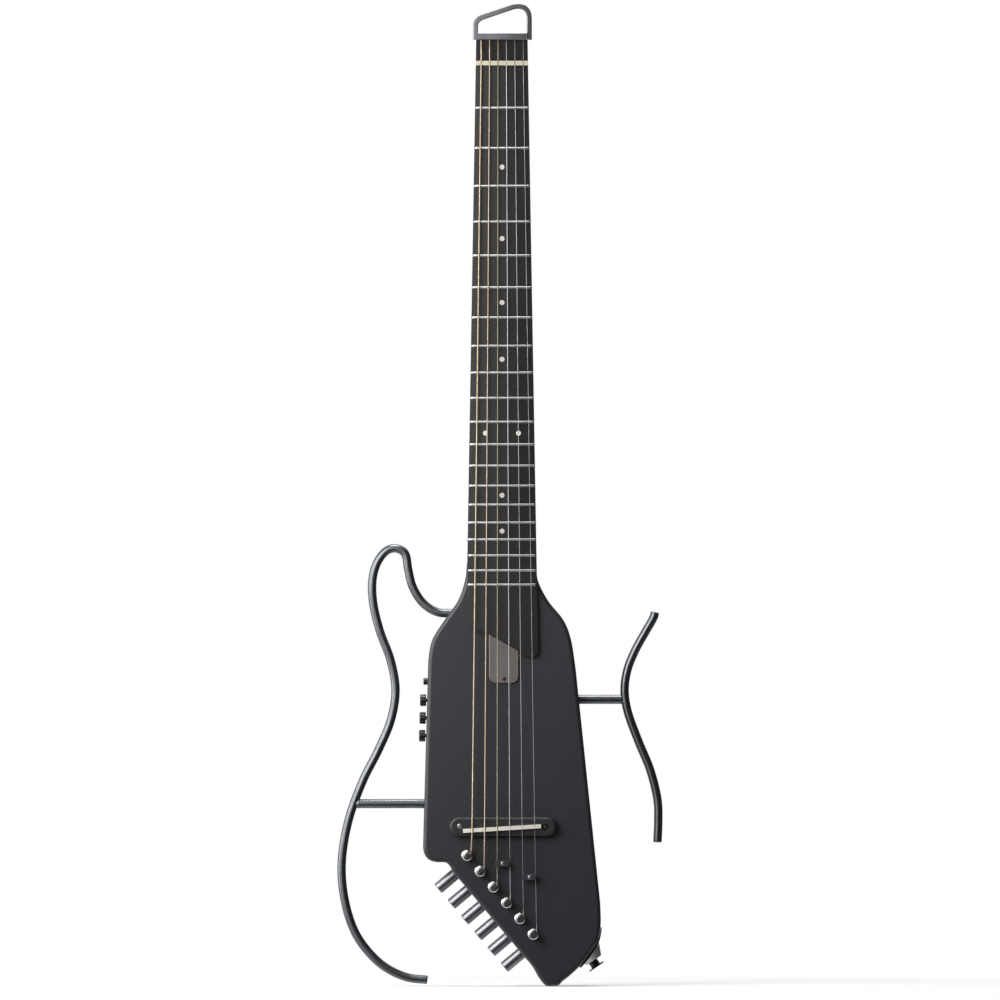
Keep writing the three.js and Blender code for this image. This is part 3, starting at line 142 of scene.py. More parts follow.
left_strut_z = corner_top_z + left_strut_rise
right_strut_z = body_top_z - right_strut_drop
shoulder_top = bushing_height + fit_gap + post_shoulder


def lerp(a, b, share):
    return a + (b - a) * share


def stepped(low, high, count):
    return [lerp(low, high, k / count) for k in range(count + 1)]


def across_strings(shift, width):
    return [shift + (i / (string_count - 1) - 0.5) * width for i in range(string_count)]


def board_half_at(z):
    return lerp(board_nut_half, board_end_half, (z - nut_z) / (board_end_z - nut_z))


def crown_drop(x):
    return x * x / (2 * crown_radius)


# Curves and outlines, as lists of (x, z)
def placed(shares, left, top, width, height):
    return [(left + u * width, top - v * height) for u, v in shares]


def hermite(b, c, t1, t2, steps):
    """Points from b up to c, with the tangents t1 and t2 there."""
    return [b + t1 * t + (3 * (c - b) - 2 * t1 - t2) * t ** 2 + (2 * (b - c) + t1 + t2) * t ** 3
            for t in (k / steps for k in range(steps))]


def spline_through(points, steps):
    """The uniform curve through points that the part's outline uses."""
    p = [Vector(point) for point in (points[0], *points, points[-1])]
    out = []
    for a, b, c, d in zip(p, p[1:], p[2:], p[3:]):
        out += map(tuple, hermite(b, c, (c - a) / 2, (d - b) / 2, steps))
    return out + [points[-1]]


def rod_curve(points, steps):
    """The centripetal curve through points that the part's rods use."""
    p = [Vector((x, 0, z)) for x, z in points]
    p = [2 * p[0] - p[1], *p, 2 * p[-1] - p[-2]]
    out = []
    for a, b, c, d in zip(p, p[1:], p[2:], p[3:]):
        d0, d1, d2 = (sqrt((there - here).length) for here, there in ((a, b), (b, c), (c, d)))
        t1 = ((b - a) / d0 - (c - a) / (d0 + d1) + (c - b) / d1) * d1
        t2 = ((c - b) / d1 - (d - b) / (d1 + d2) + (d - c) / d2) * d1
        out += hermite(b, c, t1, t2, steps)
    return out + [p[-2]]


def bend(*points, steps=8):
    """A Bezier curve of any degree."""
    out = []
    for share in stepped(0, 1, steps):
        level = [Vector(p) for p in points]
        while len(level) > 1:
            level = [a.lerp(b, share) for a, b in zip(level, level[1:])]
        out.append(tuple(level[0]))
    return out


def eased(points, reach, steps=4):
    """The closed outline with its corners rounded, each over a reach of its two sides."""
    out = []
    most_share = 0.49
    for i, p in enumerate(points):
        p, a, b = Vector(p), Vector(points[i - 1]), Vector(points[(i + 1) % len(points)])
        r = reach[i] if isinstance(reach, list) else reach
        start = p + (a - p).normalized() * min(r, (a - p).length * most_share)
        end = p + (b - p).normalized() * min(r, (b - p).length * most_share)
        out += bend(start, p, end, steps=steps) if (start - end).length > 0.001 else [tuple(p)]
    return out


def rectangle(left, right, low, high):
    return [(left, low), (right, low), (right, high), (left, high)]


def inset(outline, distance):
    """The outline moved inwards. It runs anticlockwise."""
    if not distance:
        return list(outline)
    out = []
    places = [Vector(p) for p in outline]
    for a, p, b in zip(places[-1:] + places, places, places[1:] + places[:1]):
        n1 = Vector((a.y - p.y, p.x - a.x)).normalized()
        n2 = Vector((p.y - b.y, b.x - p.x)).normalized()
        move = (n1 + n2) / max(1 + n1.dot(n2), 0.3)
        out.append(tuple(p + move * distance))
    return out


def anticlockwise(outline):
    area = sum(a[0] * b[1] - b[0] * a[1] for a, b in zip(outline, outline[1:] + outline[:1]))
    return outline if area > 0 else outline[::-1]


# Shells: (points, faces) in millimetres
def loft(rings, closed=False):
    count = len(rings[0])
    points = [Vector(p) for ring in rings for p in ring]
    faces = []
    for r in range(len(rings) - (0 if closed else 1)):
        here, there = r * count, (r + 1) % len(rings) * count
        for s in range(count):
            n = (s + 1) % count
            faces.append((here + s, here + n, there + n, there + s))
    if not closed:
        faces.append(tuple(range(count))[::-1])
        faces.append(tuple(range((len(rings) - 1) * count, len(rings) * count)))
    return points, faces


def slab(outline, front, back, front_edge=0.0, back_edge=0.0, steps=4):
    """A plate with its outline in the XZ plane and its front and back edges rounded."""
    outline = anticlockwise(outline)
    rings = []
    for edge, face, sign in ((front_edge, front, 1), (back_edge, back, -1)):
        part = []
        for k in range(steps + 1 if edge else 1):
            turn = k / steps * pi / 2
            y = face + sign * edge * (1 - sin(turn))
            part.append([(x, y, z) for x, z in inset(outline, edge * (1 - cos(turn)))])
        rings += part[::-1] if sign > 0 else part
    return loft(rings)


def block(left, right, front, back, low, high):
    return slab(rectangle(left, right, low, high), front, back)


def ring_of(radius, sides):
    return [(radius * cos(2 * pi * s / sides), radius * sin(2 * pi * s / sides))
            for s in range(sides)]


def lathe(profile, start, direction, sides=32):
    """A turned shell: profile gives distance along the axis and radius."""
    turn = Vector(direction).to_track_quat("Z", "Y").to_matrix()
    points, faces, rows = [], [], []
    for along, radius in profile:
        if radius < 0.0001:
            rows.append([len(points)])
            points.append(Vector((0, 0, along)))
        else:
            rows.append(list(range(len(points), len(points) + sides)))
            points += [Vector((*place, along)) for place in ring_of(radius, sides)]
    for a, b in zip(rows, rows[1:]):
        for s in range(sides):
            n = (s + 1) % sides
            corners = (a[s % len(a)], a[n % len(a)], b[n % len(b)], b[s % len(b)])
            faces.append(tuple(dict.fromkeys(corners)))
    faces += [tuple(row) for row in (rows[0][::-1], rows[-1]) if len(row) > 1]
    return [turn @ p + Vector(start) for p in points], faces


def sweep(path, section, scales=None):
    """A section carried along a path. The section lies across it: first out of the bend, then along Y."""
    rings = []
    side = None
    for i, p in enumerate(path):
        along = (path[min(i + 1, len(path) - 1)] - path[max(i - 1, 0)]).normalized()
        if side is None:
            side = along.cross(BACK) if abs(along.dot(BACK)) < 0.9 else along.cross(RIGHT)
        side = (side - along * side.dot(along)).normalized()
        other = side.cross(along)
        k = scales[i] if scales else 1
        rings.append([p + side * a * k + other * b * k for a, b in section])
    return loft(rings)


def rod(path, radius, sides=28, edge=0.6):
    """A rod with a small chamfer at both ends, as wide across as the part's own many-sided one."""
    width_share, depth_share = 0.937, 0.98
    a, b = path[0], path[-1]
    into = (path[1] - a).normalized() * edge
    outof = (path[-2] - b).normalized() * edge
    inner = [p for p in path[1:-1] if (p - a).length > 2 * edge and (p - b).length > 2 * edge]
    points = [a, a + into, *inner, b + outof, b]
    scales = [1 - edge / radius, 1, *[1] * len(inner), 1, 1 - edge / radius]
    return sweep(points, [(a * width_share, b * depth_share) for a, b in ring_of(radius, sides)], scales)


def moved(shell, matrix):
    return [matrix @ Vector(p) for p in shell[0]], shell[1]


# Pieces
def object_of(name, data):
    item = bpy.data.objects.new(name, data)
    scene.collection.objects.link(item)
    return item


def edit(mesh, change):
    sheet = bmesh.new()
    sheet.from_mesh(mesh)
    change(sheet)
    sheet.to_mesh(mesh)
    sheet.free()


def mesh_object(name, shells):
    """One object of one or more closed shells, facing out."""
    points, faces = [], []
    for shell in shells:
        base = len(points)
        points += [tuple(Vector(p) * MM) for p in shell[0]]
        faces += [tuple(i + base for i in face) for face in shell[1]]
    mesh = bpy.data.meshes.new(name)
    mesh.from_pydata(points, [], faces)
    edit(mesh, lambda sheet: bmesh.ops.recalc_face_normals(sheet, faces=sheet.faces))
    return object_of(name, mesh)


def settle(item):
    """Puts the item's modifiers into its mesh."""
    bpy.context.view_layer.update()
    graph = bpy.context.evaluated_depsgraph_get()
    mesh = bpy.data.meshes.new_from_object(item.evaluated_get(graph), depsgraph=graph)
    old = item.data
    item.modifiers.clear()
    item.data = mesh
    bpy.data.meshes.remove(old)


def carve(item, shells, operation="DIFFERENCE"):
    for shell in shells:
        tool = mesh_object("tool", [shell])
        change = item.modifiers.new("cut", "BOOLEAN")
        change.operation = operation
        change.solver = "EXACT"
        change.object = tool
        settle(item)
        bpy.data.meshes.remove(tool.data)


def refined(cad_node, name, bevel):
    """A copy of a CAD node's mesh with its flat faces joined and its edges rounded."""
    def flatten(sheet):
        bmesh.ops.remove_doubles(sheet, verts=sheet.verts, dist=0.00001)
        bmesh.ops.dissolve_limit(sheet, angle_limit=radians(1), verts=sheet.verts, edges=sheet.edges)

    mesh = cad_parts[cad_node].data.copy()
    mesh.name = name
    edit(mesh, flatten)
    mesh.materials.clear()
    item = object_of(name, mesh)
    soften(item, bevel)
    return item


def soften(item, width, segments=3, angle=35):
    change = item.modifiers.new("edge", "BEVEL")
    change.width = width * MM
    change.segments = segments
    change.limit_method = "ANGLE"
    change.angle_limit = radians(angle)
    change.use_clamp_overlap = True
    settle(item)


def dress(item, look, *nodes, body="guitar", angle=38):
    """Shades a piece, gives it its finish and lets it ride on its body in place of its nodes."""
    mesh = item.data
    mesh.materials.clear()
    mesh.materials.append(looks[look][0])
    mesh.shade_smooth()
    mesh.set_sharp_from_angle(angle=radians(angle))
    change = item.modifiers.new("normals", "WEIGHTED_NORMAL")
    change.keep_sharp = True
    change.weight = 60
    settle(item)
    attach(item, body)
    if nodes:
        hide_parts(*nodes)


def made(name, shells, look, *nodes, **more):
    dress(mesh_object(name, shells if isinstance(shells, list) else [shells]), look, *nodes, **more)


# Finishes
def linear(hexadecimal, gain=1.0):
    out = []
    for i in (0, 2, 4):
        part = int(hexadecimal[i:i + 2], 16) / 255
        out.append(min(1, gain * (part / 12.92 if part <= 0.04045 else ((part + 0.055) / 1.055) ** 2.4)))
    return (*out, 1)


def fill(item, **values):
    """Sets a node's inputs, each by a constant or by the socket that feeds it, and its other settings."""
    for key, value in values.items():
        socket = item.inputs.get(key.replace("_", " "))
        if socket is None:
            setattr(item, key, value)
        elif isinstance(value, bpy.types.NodeSocket):
            item.id_data.links.new(value, socket)
        else:
            socket.default_value = value
    return item


def node(tree, kind, **values):
    return fill(tree.nodes.new("ShaderNode" + kind), **values)


def new_material(name):
    material = bpy.data.materials.new(name)
    material.use_nodes = True
    return material, material.node_tree


def noise(tree, place, scale, detail, stretch=(1, 1, 1)):
    spot = node(tree, "Mapping", Vector=place, Scale=stretch).outputs["Vector"]
    return node(tree, "TexNoise", Vector=spot, Scale=scale, Detail=detail).outputs["Fac"]


def spread(tree, value, low, high, start=0.3, end=0.7):
    return node(tree, "MapRange", Value=value, From_Min=start, From_Max=end, To_Min=low,
                To_Max=high).outputs["Result"]


def colours(tree, value, dark, light):
    ramp = node(tree, "ValToRGB", Fac=value)
    for element, place, colour in zip(ramp.color_ramp.elements, (0.3, 0.7), (dark, light)):
        element.position = place
        element.color = colour
    return ramp.outputs["Color"]


def mixed(tree, share, a, b):
    """Colour a with a share of the constant colour b over it."""
    out = node(tree, "Mix", data_type="RGBA", Factor=share)
    tree.links.new(a, out.inputs[6])
    out.inputs[7].default_value = b
    return out.outputs[2]


def mixed_shader(tree, share, a, b):
    out = node(tree, "MixShader", Fac=share)
    tree.links.new(a, out.inputs[1])
    tree.links.new(b, out.inputs[2])
    return out.outputs[0]


def combined(tree, operation, a, b):
    out = node(tree, "Math", operation=operation)
    tree.links.new(a, out.inputs[0])
    tree.links.new(b, out.inputs[1])
    return out.outputs[0]


looks = {}


def add_look(key, slot, tone, vary, scale, rough, metal=0.0, name=None, *, specular=0.5, bump=0.0,
             bump_scale=1500, pattern=None):
    """A procedural finish: colour, roughness and relief each vary over the surface."""
    material, tree = new_material(name or slot)
    place = node(tree, "TexCoord").outputs["Object"]
    colour = colours(tree, noise(tree, place, scale, 5), linear(tone, 1 - vary), linear(tone, 1 + vary))
    fine = noise(tree, place, bump_scale, 3)
    height = fine
    if pattern:
        colour, height = pattern(tree, place, colour)
    shader = fill(tree.nodes["Principled BSDF"], Metallic=metal, Specular_IOR_Level=specular,
                  Base_Color=colour, Roughness=spread(tree, fine, *rough))
    if bump:
        relief = node(tree, "Bump", Strength=0.6, Distance=bump * MM, Height=height)
        fill(shader, Normal=relief.outputs["Normal"])
    looks[key] = material, slot


def wood_grain(dark):
    def pattern(tree, place, colour):
        streaks = noise(tree, place, 900, 5, (1, 1, 0.035))
        pores = noise(tree, place, 3200, 2, (1, 1, 0.05))
        grain = mixed(tree, spread(tree, streaks, 0, 0.8, 0.35, 0.65), colour, linear(dark))
        return mixed(tree, spread(tree, pores, 0, 0.5, 0.6, 0.75), grain, linear(dark, 0.4)), pores
    return pattern


def windings_with_painted_groove_shade(dark):
    """Wire wound round the string, one turn each 0.45 mm. The second tone is painted shade: it darkens the
    grooves between turns, which the bump also sinks.
    """
    def pattern(tree, place, colour):
        wave = node(tree, "TexWave", Vector=place, Scale=pi / 10 / (0.45 * MM),
                    Distortion=0.0, bands_direction="Z").outputs["Fac"]
        # Painted shade: the dark tone fills the grooves between turns
        return mixed(tree, spread(tree, wave, 0.45, 0, 0.0, 0.5), colour, linear(dark)), wave
    return pattern


def traces(tree, place, colour):
    turned = node(tree, "Mapping", Vector=place, Rotation=(pi / 2, 0, pi / 2))
    brick = node(tree, "TexBrick", Vector=turned.outputs["Vector"], Scale=260).outputs["Fac"]
    return mixed(tree, brick, colour, linear("6f9a62")), brick


add_look("body", "body_paint", "24262a", 0.05, 9, (0.38, 0.46), bump=0.02, bump_scale=2600)
add_look("neck", "neck_wood", "1e1917", 0.2, 40, (0.42, 0.55), specular=0.3, bump=0.02,
         pattern=wood_grain("141110"))
add_look("ebony", "fingerboard_wood", "171513", 0.25, 30, (0.42, 0.55), specular=0.45, bump=0.03,
         pattern=wood_grain("100e0d"))
add_look("bone", "bone", "cdc6b0", 0.06, 300, (0.3, 0.42), bump=0.01)
add_look("white_bone", "bone", "e6e2d6", 0.05, 300, (0.3, 0.42), name="white_bone", bump=0.01)
add_look("gunmetal", "gunmetal", "77787b", 0.1, 80, (0.3, 0.4), 1.0, bump=0.008, bump_scale=2200)
add_look("cone", "gunmetal", "b4b6b9", 0.08, 80, (0.42, 0.52), 0.9, "satin_metal", bump=0.008,
         bump_scale=2200)
add_look("rod", "rod_paint", "626467", 0.1, 60, (0.28, 0.38), 1.0, bump=0.01, bump_scale=2600)
add_look("knob", "knob_metal", "7c7d80", 0.08, 120, (0.34, 0.44), 1.0)
add_look("chrome", "chrome", "b9b9bb", 0.1, 260, (0.14, 0.26), 1.0, bump=0.012, bump_scale=700)
add_look("steel", "steel", "8d8f93", 0.12, 200, (0.32, 0.45), 1.0)
add_look("fret", "steel", "b2b2b2", 0.1, 200, (0.34, 0.46), 1.0, "fret_silver")
add_look("brass", "brass", "b08d57", 0.12, 200, (0.3, 0.45), 1.0, bump=0.01)
# The second tone of each wound string is painted shade in the grooves between its turns
add_look("wound", "wound_string", "c6b39c", 0.12, 300, (0.3, 0.42), 0.85, bump=0.1,
         pattern=windings_with_painted_groove_shade("6b5b4e"))
add_look("wound_grey", "wound_string", "a19c86", 0.12, 300, (0.3, 0.42), 0.85, "grey_wound_string", bump=0.1,
         pattern=windings_with_painted_groove_shade("45433b"))
add_look("plain", "plain_string", "b2afb4", 0.08, 300, (0.34, 0.44), 1.0)
add_look("plastic", "black_plastic", "1e1f21", 0.15, 120, (0.35, 0.5), bump=0.02)
add_look("satin", "black_gloss", "36373a", 0.12, 120, (0.4, 0.5), 0.4, "satin_black", bump=0.01)
add_look("gloss", "black_gloss", "141516", 0.15, 120, (0.18, 0.3), bump=0.005)
add_look("cover", "cover_plate", "77716e", 0.08, 90, (0.3, 0.42), 0.4, bump=0.01)
add_look("board", "circuit", "22482f", 0.1, 200, (0.3, 0.5), bump=0.05, pattern=traces)
add_look("battery", "battery_case", "30363e", 0.12, 90, (0.3, 0.42), 0.3, bump=0.01)

# Body
left_shoulder_shares = [(0.246, 0), (0.235, 0.182), (0.196, 0.39), (0.119, 0.593), (0.051, 0.797), (0.03, 1)]
right_shoulder_shares = [(0.855, 1.104), (0.829, 0.797), (0.787, 0.593), (0.7, 0.39), (0.643, 0.182),
                         (0.634, 0)]
corner_shares = [(0.006, 0), (0, 0.63), (0.527, 0.645), (0.725, 0.645), (0.874, 0.661), (1, 1)]
tip_shares = [(0, 0), (0.096, 0.309), (0.182, 0.706), (0.266, 0.971), (0.347, 1), (0.437, 0.97),
              (0.489, 0.834), (0.592, 0.614), (0.733, 0.246), (0.876, -0.276), (0.95, -0.623),
              (0.985, -1.174), (0.979, -1.897)]
boss_seat_shares = [(0.842, -0.025)]
left_shoulder = placed(left_shoulder_shares, -body_left, body_top_z, body_width, shoulder_length)
right_shoulder = placed(right_shoulder_shares, -body_left, body_top_z, body_width, shoulder_length)
corner = placed(corner_shares, -body_left, corner_top_z, cut_start.x + body_left, corner_rise)
tip, (boss_seat,) = (placed(shares, cut_end.x, cut_end.z, body_right - cut_end.x, tip_reach)
                     for shares in (tip_shares, boss_seat_shares))


above_body = body_top_z + 12
body_outline = [
    (left_shoulder[0][0], above_body), *spline_through(left_shoulder, 10), *bend(*corner[:3], steps=14),
    *bend(*corner[3:], steps=10), *spline_through(tip, 10), *spline_through(right_shoulder, 10),
    (right_shoulder[-1][0], above_body)]


def side_at(z, start, end):
    return lerp(start[0], end[0], (z - start[1]) / (end[1] - start[1]))


def left_side_at(z):
    return side_at(z, left_shoulder[-1], corner[0])


def right_side_at(z):
    return side_at(z, right_shoulder[0], tip[-1])


def left_shoulder_at(z):
    below = next(i for i, p in enumerate(left_shoulder) if p[1] < z)
    return side_at(z, left_shoulder[below - 1], left_shoulder[below])


def round_box(left, right, low, high, reach):
    return eased(rectangle(left, right, low, high), reach, 8)


def cavity_box(reach):
    """The electronics cavity's left, right, low and high side, each moved out by a reach."""
    return (cavity_left - reach, cavity_right + reach, knob_zs[-1] - cavity_margin - reach,
            button_z + cavity_margin + reach)


left_frame_top = body_top_z + left_frame_rise
upper_peg_share = 0.15
upper_peg_z = left_frame_top - upper_peg_share * left_frame_height
upper_peg_entry = left_shoulder_at(upper_peg_z + socket_radius) + sleeve_inset
upper_peg_end = -tenon_half - tenon_side_wall
lower_peg_entry = left_side_at(left_strut_z) + sleeve_inset
right_peg_entry = right_side_at(right_strut_z) - sleeve_inset
cavity_left = -body_left + side_wall
# The body closes over the one corner of the neck's tenon that the fingerboard leaves open
tenon_low = body_top_z - tenon_length
corner_right, corner_skin, corner_height, corner_lap = -6, 0.5, 3.2, 0.1


def bore(start, end, y, z, radius):
    """A drill along X from start to end."""
    return lathe([(0, radius), (abs(end - start), radius)], (start, y, z), RIGHT if end > start else LEFT, 24)


def heel_tool(steps=12, half=62, past=1):
    """What is cut away behind the thin upper end of the body."""
    behind, above = body_thickness + past, body_top_z + past
    rise = body_thickness - heel_thickness
    section = [(heel_thickness + rise * sin(share * pi / 2), body_top_z - share * heel_length)
               for share in stepped(0, 1, steps)]
    section += [(behind, body_top_z - heel_length - past), (behind, above), (heel_thickness, above)]
    return loft([[(x, y, z) for y, z in section] for x in (-half, half)])


def ledge_tool(past_edge=32):
    """What is cut away behind the ledge that carries the tuners."""
    high = (string_count - 1) * tuner_pitch + ledge_end_margin
    outline = eased(rectangle(past_edge, -housing_inner - ledge_inner_room, -ledge_end_margin, high),
                    [0, ledge_corner, ledge_corner, 0], 8)
    return loft([[posts[0] + out_of_edge * x + along_tuners * z + BACK * y for x, z in outline]
                 for y in (ledge, body_thickness + 1)])


outline = inset(anticlockwise(body_outline), 0.03)
item = mesh_object("body_shell", [slab(outline, 0, body_thickness, front_edge, body_edge, 6)])
half, low, top = tenon_half + fit_gap, tenon_low - fit_gap, body_top_z + overrun
skin_rear, corner_top = corner_skin + corner_lap, tenon_low + corner_height
behind = body_thickness + overrun
lip_face = body_thickness - rear_cover_thickness - seat_gap
socket, end_room = socket_radius + fit_gap, 0.3
strut_hole = strut_peg_length + end_room
tools = [
    block(-90, 90, -overrun, behind, body_top_z, body_top_z + 40),
    block(-half, half, corner_skin, tenon_depth + fit_gap, low, top),
    block(-half, half, -overrun, skin_rear, corner_top, top),
    block(corner_right, half, -overrun, skin_rear, low, corner_top + corner_lap),
    block(-truss_pocket_half, truss_pocket_half, -overrun, truss_pocket_depth,
          tenon_low - truss_pocket_length, tenon_low),
    heel_tool(), ledge_tool(),
    slab(round_box(*cavity_box(0), cavity_corner), cavity_floor, behind),
    slab(round_box(*cavity_box(cavity_lip), cavity_corner + cavity_lip), lip_face, behind),
    bore(upper_peg_entry, upper_peg_end + end_room, rod_y, upper_peg_z, socket),
    bore(-body_left, upper_peg_end, rod_y, upper_peg_z, rod_radius + fit_gap),
    bore(lower_peg_entry - overrun, lower_peg_entry + strut_hole, rod_y, left_strut_z, socket),
    bore(right_peg_entry + overrun, right_peg_entry - strut_hole, rod_y, right_strut_z, socket),
]
hole = control_bushing + fit_gap
tools += [bore(left_side_at(z) - overrun, cavity_left + 0.5, control_depth, z, hole)
          for z in (button_z, *knob_zs)]
hole = bushing_radius + fit_gap
tools += [lathe([(0, hole), (ledge + 2, hole)], (p.x, -1, p.z), BACK, 24) for p in posts]
carve(item, tools)
dress(item, "body", "body", angle=32)

# Screws, with shares of a head's height and radius
screw_shares = [(0, 1), (0.45, 1), (0.85, 0.8), (1, 0.45), (1, 0)]
slot_length_share, slot_width_share, slot_floor_share = 0.6, 0.14, 0.35


def screw(start, direction, radius, height=0.8, slot_turn=0.6):
    """A raised screw head with a cross sunk into it."""
    profile = [(height * along, radius * out) for along, out in screw_shares]
    head = mesh_object("screw", [lathe(profile, start, direction, 24)])
    axis = Vector(direction)
    side = axis.orthogonal().normalized()
    arms = []
    for k in (0, 1):
        a = Matrix.Rotation(slot_turn + k * pi / 2, 3, axis) @ side
        b = axis.cross(a) * (radius * slot_width_share)
        a *= radius * slot_length_share
        ring = [Vector(start) + v for v in (a + b, b - a, -a - b, a - b)]
        arms.append(loft([[v + axis * height * rise for v in ring] for rise in (slot_floor_share, 2)]))
    carve(head, arms)
    return head


def joined(name, items):
    sheet = bmesh.new()
    for item in items:
        sheet.from_mesh(item.data)
        bpy.data.meshes.remove(item.data)
    mesh = bpy.data.meshes.new(name)
    sheet.to_mesh(mesh)
    sheet.free()
    return object_of(name, mesh)


# Rear cover with its four screws
screw_inset = 5.5
outline = round_box(*cavity_box(cavity_lip - fit_gap), rear_cover_corner)
made("cavity_cover", slab(outline, body_thickness - rear_cover_thickness, body_thickness, 0, 0.5, 3),
     "plastic", "rear_cover")
left, right, low, high = cavity_box(cavity_lip - fit_gap - screw_inset)
screws = [screw((x, body_thickness - 0.8, z), BACK, 2.6, 0.75)
          for x in (left, right) for z in (low, high)]
dress(joined("cavity_screws", screws), "steel")


# Neck
def neck_ring(z, steps=28):
    half = board_half_at(z) - 0.02
    depth = lerp(neck_depth_at_head, neck_depth_at_body, (z - nut_z) / (body_top_z - nut_z))
    ring = [(-half, 0, z)]
    for turn in stepped(0, pi, steps):
        ring.append((-half * cos(turn), neck_cheek + (depth - neck_cheek) * sin(turn) ** 0.8, z))
    return ring + [(half, 0, z)]


top, foot, past = bar_bottom_z - seat_gap, body_top_z + seat_gap, 1
item = mesh_object("neck_shaft", [loft([neck_ring(z) for z in stepped(foot, top, 24)])])
carve(item, [block(-tenon_half, tenon_half, 0, tenon_depth, tenon_low, foot + past)], "UNION")
channel = truss_width / 2 + fit_gap
carve(item, [block(-channel, channel, -past, truss_depth + 0.3, tenon_low - past,
                   nut_z - truss_head_setback),
             block(-tenon_half - past, corner_right + corner_lap, -past, corner_skin + corner_lap,
                   tenon_low - past, tenon_low + corner_height + corner_lap)])
dress(item, "neck", "neck", angle=50)

# Fingerboard, frets and dots
tongue_shares = [(-0.97, 0), (-0.9, 0.14), (-0.75, 0.315), (-0.36, 0.41), (0.25, 0.72), (0.47, 0.846),
                 (0.6, 0.987), (0.91, 1), (1, 0.846)]
tongue = placed(tongue_shares, 0, board_end_z + tongue_length, board_end_half, tongue_length)
swept = spline_through(tongue[:7], 8) + spline_through(tongue[6:], 6)[1:]


def board_y(x):
    return -board_thickness + crown_drop(x)


def build_board(columns=24, half=40):
    """A slab with a crowned front, cut to the board's outline."""
    top = nut_z - seat_gap
    xs = stepped(-half, half, columns)
    rings = [[(half, -seat_gap, z), (-half, -seat_gap, z), *[(x, board_y(x), z) for x in xs]]
             for z in (top, board_end_z - 5)]
    item = mesh_object("fingerboard", [loft(rings)])
    outline = [(-board_nut_half, top), *swept, (board_nut_half, top)]
    carve(item, [slab(outline, -12, overrun)], "INTERSECT")
    soften(item, 0.7, 3, 50)
    dress(item, "ebony", "fingerboard", angle=40)


def fret(number, columns=18, half_width=1.05, slope=0.9, foot=0.5):
    """A bead across the board with sloped ends, whose feet lie in the board."""
    z = fret_z(number)
    half = board_half_at(z) - (0.8 if number >= body_join_fret else 0.35)
    bead = [(cos(turn) * half_width, sin(turn) * fret_height) for turn in stepped(0, pi, 8)]

    def ring(x, foot_x, rise=1.0):
        feet = [(x, board_y(foot_x) + foot, z + a * 0.6) for a in (-1, 1)]
        return [(x, board_y(x) - b * rise, z + a) for a, b in bead] + feet

    middle = [ring(x, x) for x in stepped(-half, half, columns)[1:-1]]
    return loft([ring(-half, half, 0.15), ring(-half + slope, half), *middle,
                 ring(half - slope, half), ring(half, half, 0.15)])


def between_frets(number):
    return (fret_z(number) + fret_z(number - 1)) / 2


def dot(x, z, radius=2.15, sink=0.5, edge=0.1):
    profile = [(0, radius), (sink + edge / 2, radius), (sink + edge, radius - edge), (sink + edge, 0)]
    return lathe(profile, (x, board_y(x) + sink, z), FRONT, 28)


def side_dot(z, shift):
    start = (-board_half_at(z) + 0.5, -3, z + shift)
    return lathe([(0, 1), (0.5, 1), (0.55, 0.9), (0.55, 0)], start, LEFT, 16)


build_board()
made("frets", [fret(n) for n in range(1, fret_count + 1)], "fret", angle=60)
dots = [dot(0.1, between_frets(n)) for n in (3, 5, 7, 9, 15, 17)]
dots += [dot(x, between_frets(12)) for x in (-14, 14.2)]
made("board_dots", dots, "white_bone")
side_dots = []
for n in (3, 5, 7, 9, 12, 15, 17):
    for shift in ((-3, 3) if n == 12 else (0,)):
        side_dots.append(side_dot(between_frets(n), shift))
made("side_dots", side_dots, "bone")


# Cover plate under the strings, with its screw
def swept_z(x):
    for a, b in zip(swept, swept[1:]):
        if a[0] <= x <= b[0]:
            return lerp(a[1], b[1], (x - a[0]) / (b[0] - a[0]))


bottom = board_end_z - cover_beyond_board
outline = [(x, swept_z(x) - 0.5) for x in stepped(cover_left, cover_right, 16)]
for side, inwards in ((cover_right, -cover_corner), (cover_left, cover_corner)):
    bent = bend((side, bottom + cover_corner), (side, bottom), (side + inwards, bottom))
    outline += bent if side == cover_right else bent[::-1]
made("neck_cover_plate", slab(outline, -2.05, -seat_gap, 0.6), "cover", "truss_rod_cover")
photo_top, photo_screw, pixel = 12.9, 678.3, 0.8545
dress(screw((1.9, -1.9, (photo_top - photo_screw) * pixel), FRONT, 1.7, 0.5, 0.3), "plastic")

# Nut, saddle and bridge
dress(refined("nut", "string_nut", 0.25), "bone", "nut", angle=50)
photo_saddle_shift = -1.2
saddle = refined("saddle", "bridge_saddle", 0.9)
saddle.data.transform(Matrix.Translation((photo_saddle_shift * MM, 0, 0)))
dress(saddle, "white_bone", "saddle", angle=50)


def saddle_line_z(x):
    return saddle_z + (x - saddle_shift) * tan(saddle_slant)


end = bridge_width / 2
straight = bridge_length / 2 - end
outline = []
for side in (1, -1):
    turns = stepped(-side * pi / 2, (2 - side) * pi / 2, 20)
    outline += [(bridge_shift + side * straight + end * cos(turn), bridge_z + end * sin(turn))
                for turn in turns]
item = mesh_object("bridge_base", [slab(outline, -bridge_height, -seat_gap, bridge_edge, 0, 5)])
slant = Matrix.Translation((saddle_shift, 0, saddle_z)) @ Matrix.Rotation(-saddle_slant, 4, "Y")
tools = [moved(slab(round_box(-33.65, 33.65, -1.95, 1.95, 1.6), -9, 1), slant)]
right, left = (37.6, bridge_z - 0.6), (-35.8, bridge_z + 0.4)
for (x, z), depth, cone in ((right, 2.2, 0.8), (left, 1.4, 0.2)):
    tools.append(lathe([(0, 3.1), (depth, 3.1), (depth + cone, 0)], (x, -8.2, z), BACK, 28))
carve(item, tools)
dress(item, "plastic", "bridge", angle=40)
for (x, z), y, height, look in ((left, -6.9, 0.9, "steel"), (right, -5.9, 0.8, "plastic")):
    dress(screw((x, y, z), FRONT, 2.5, height), look)

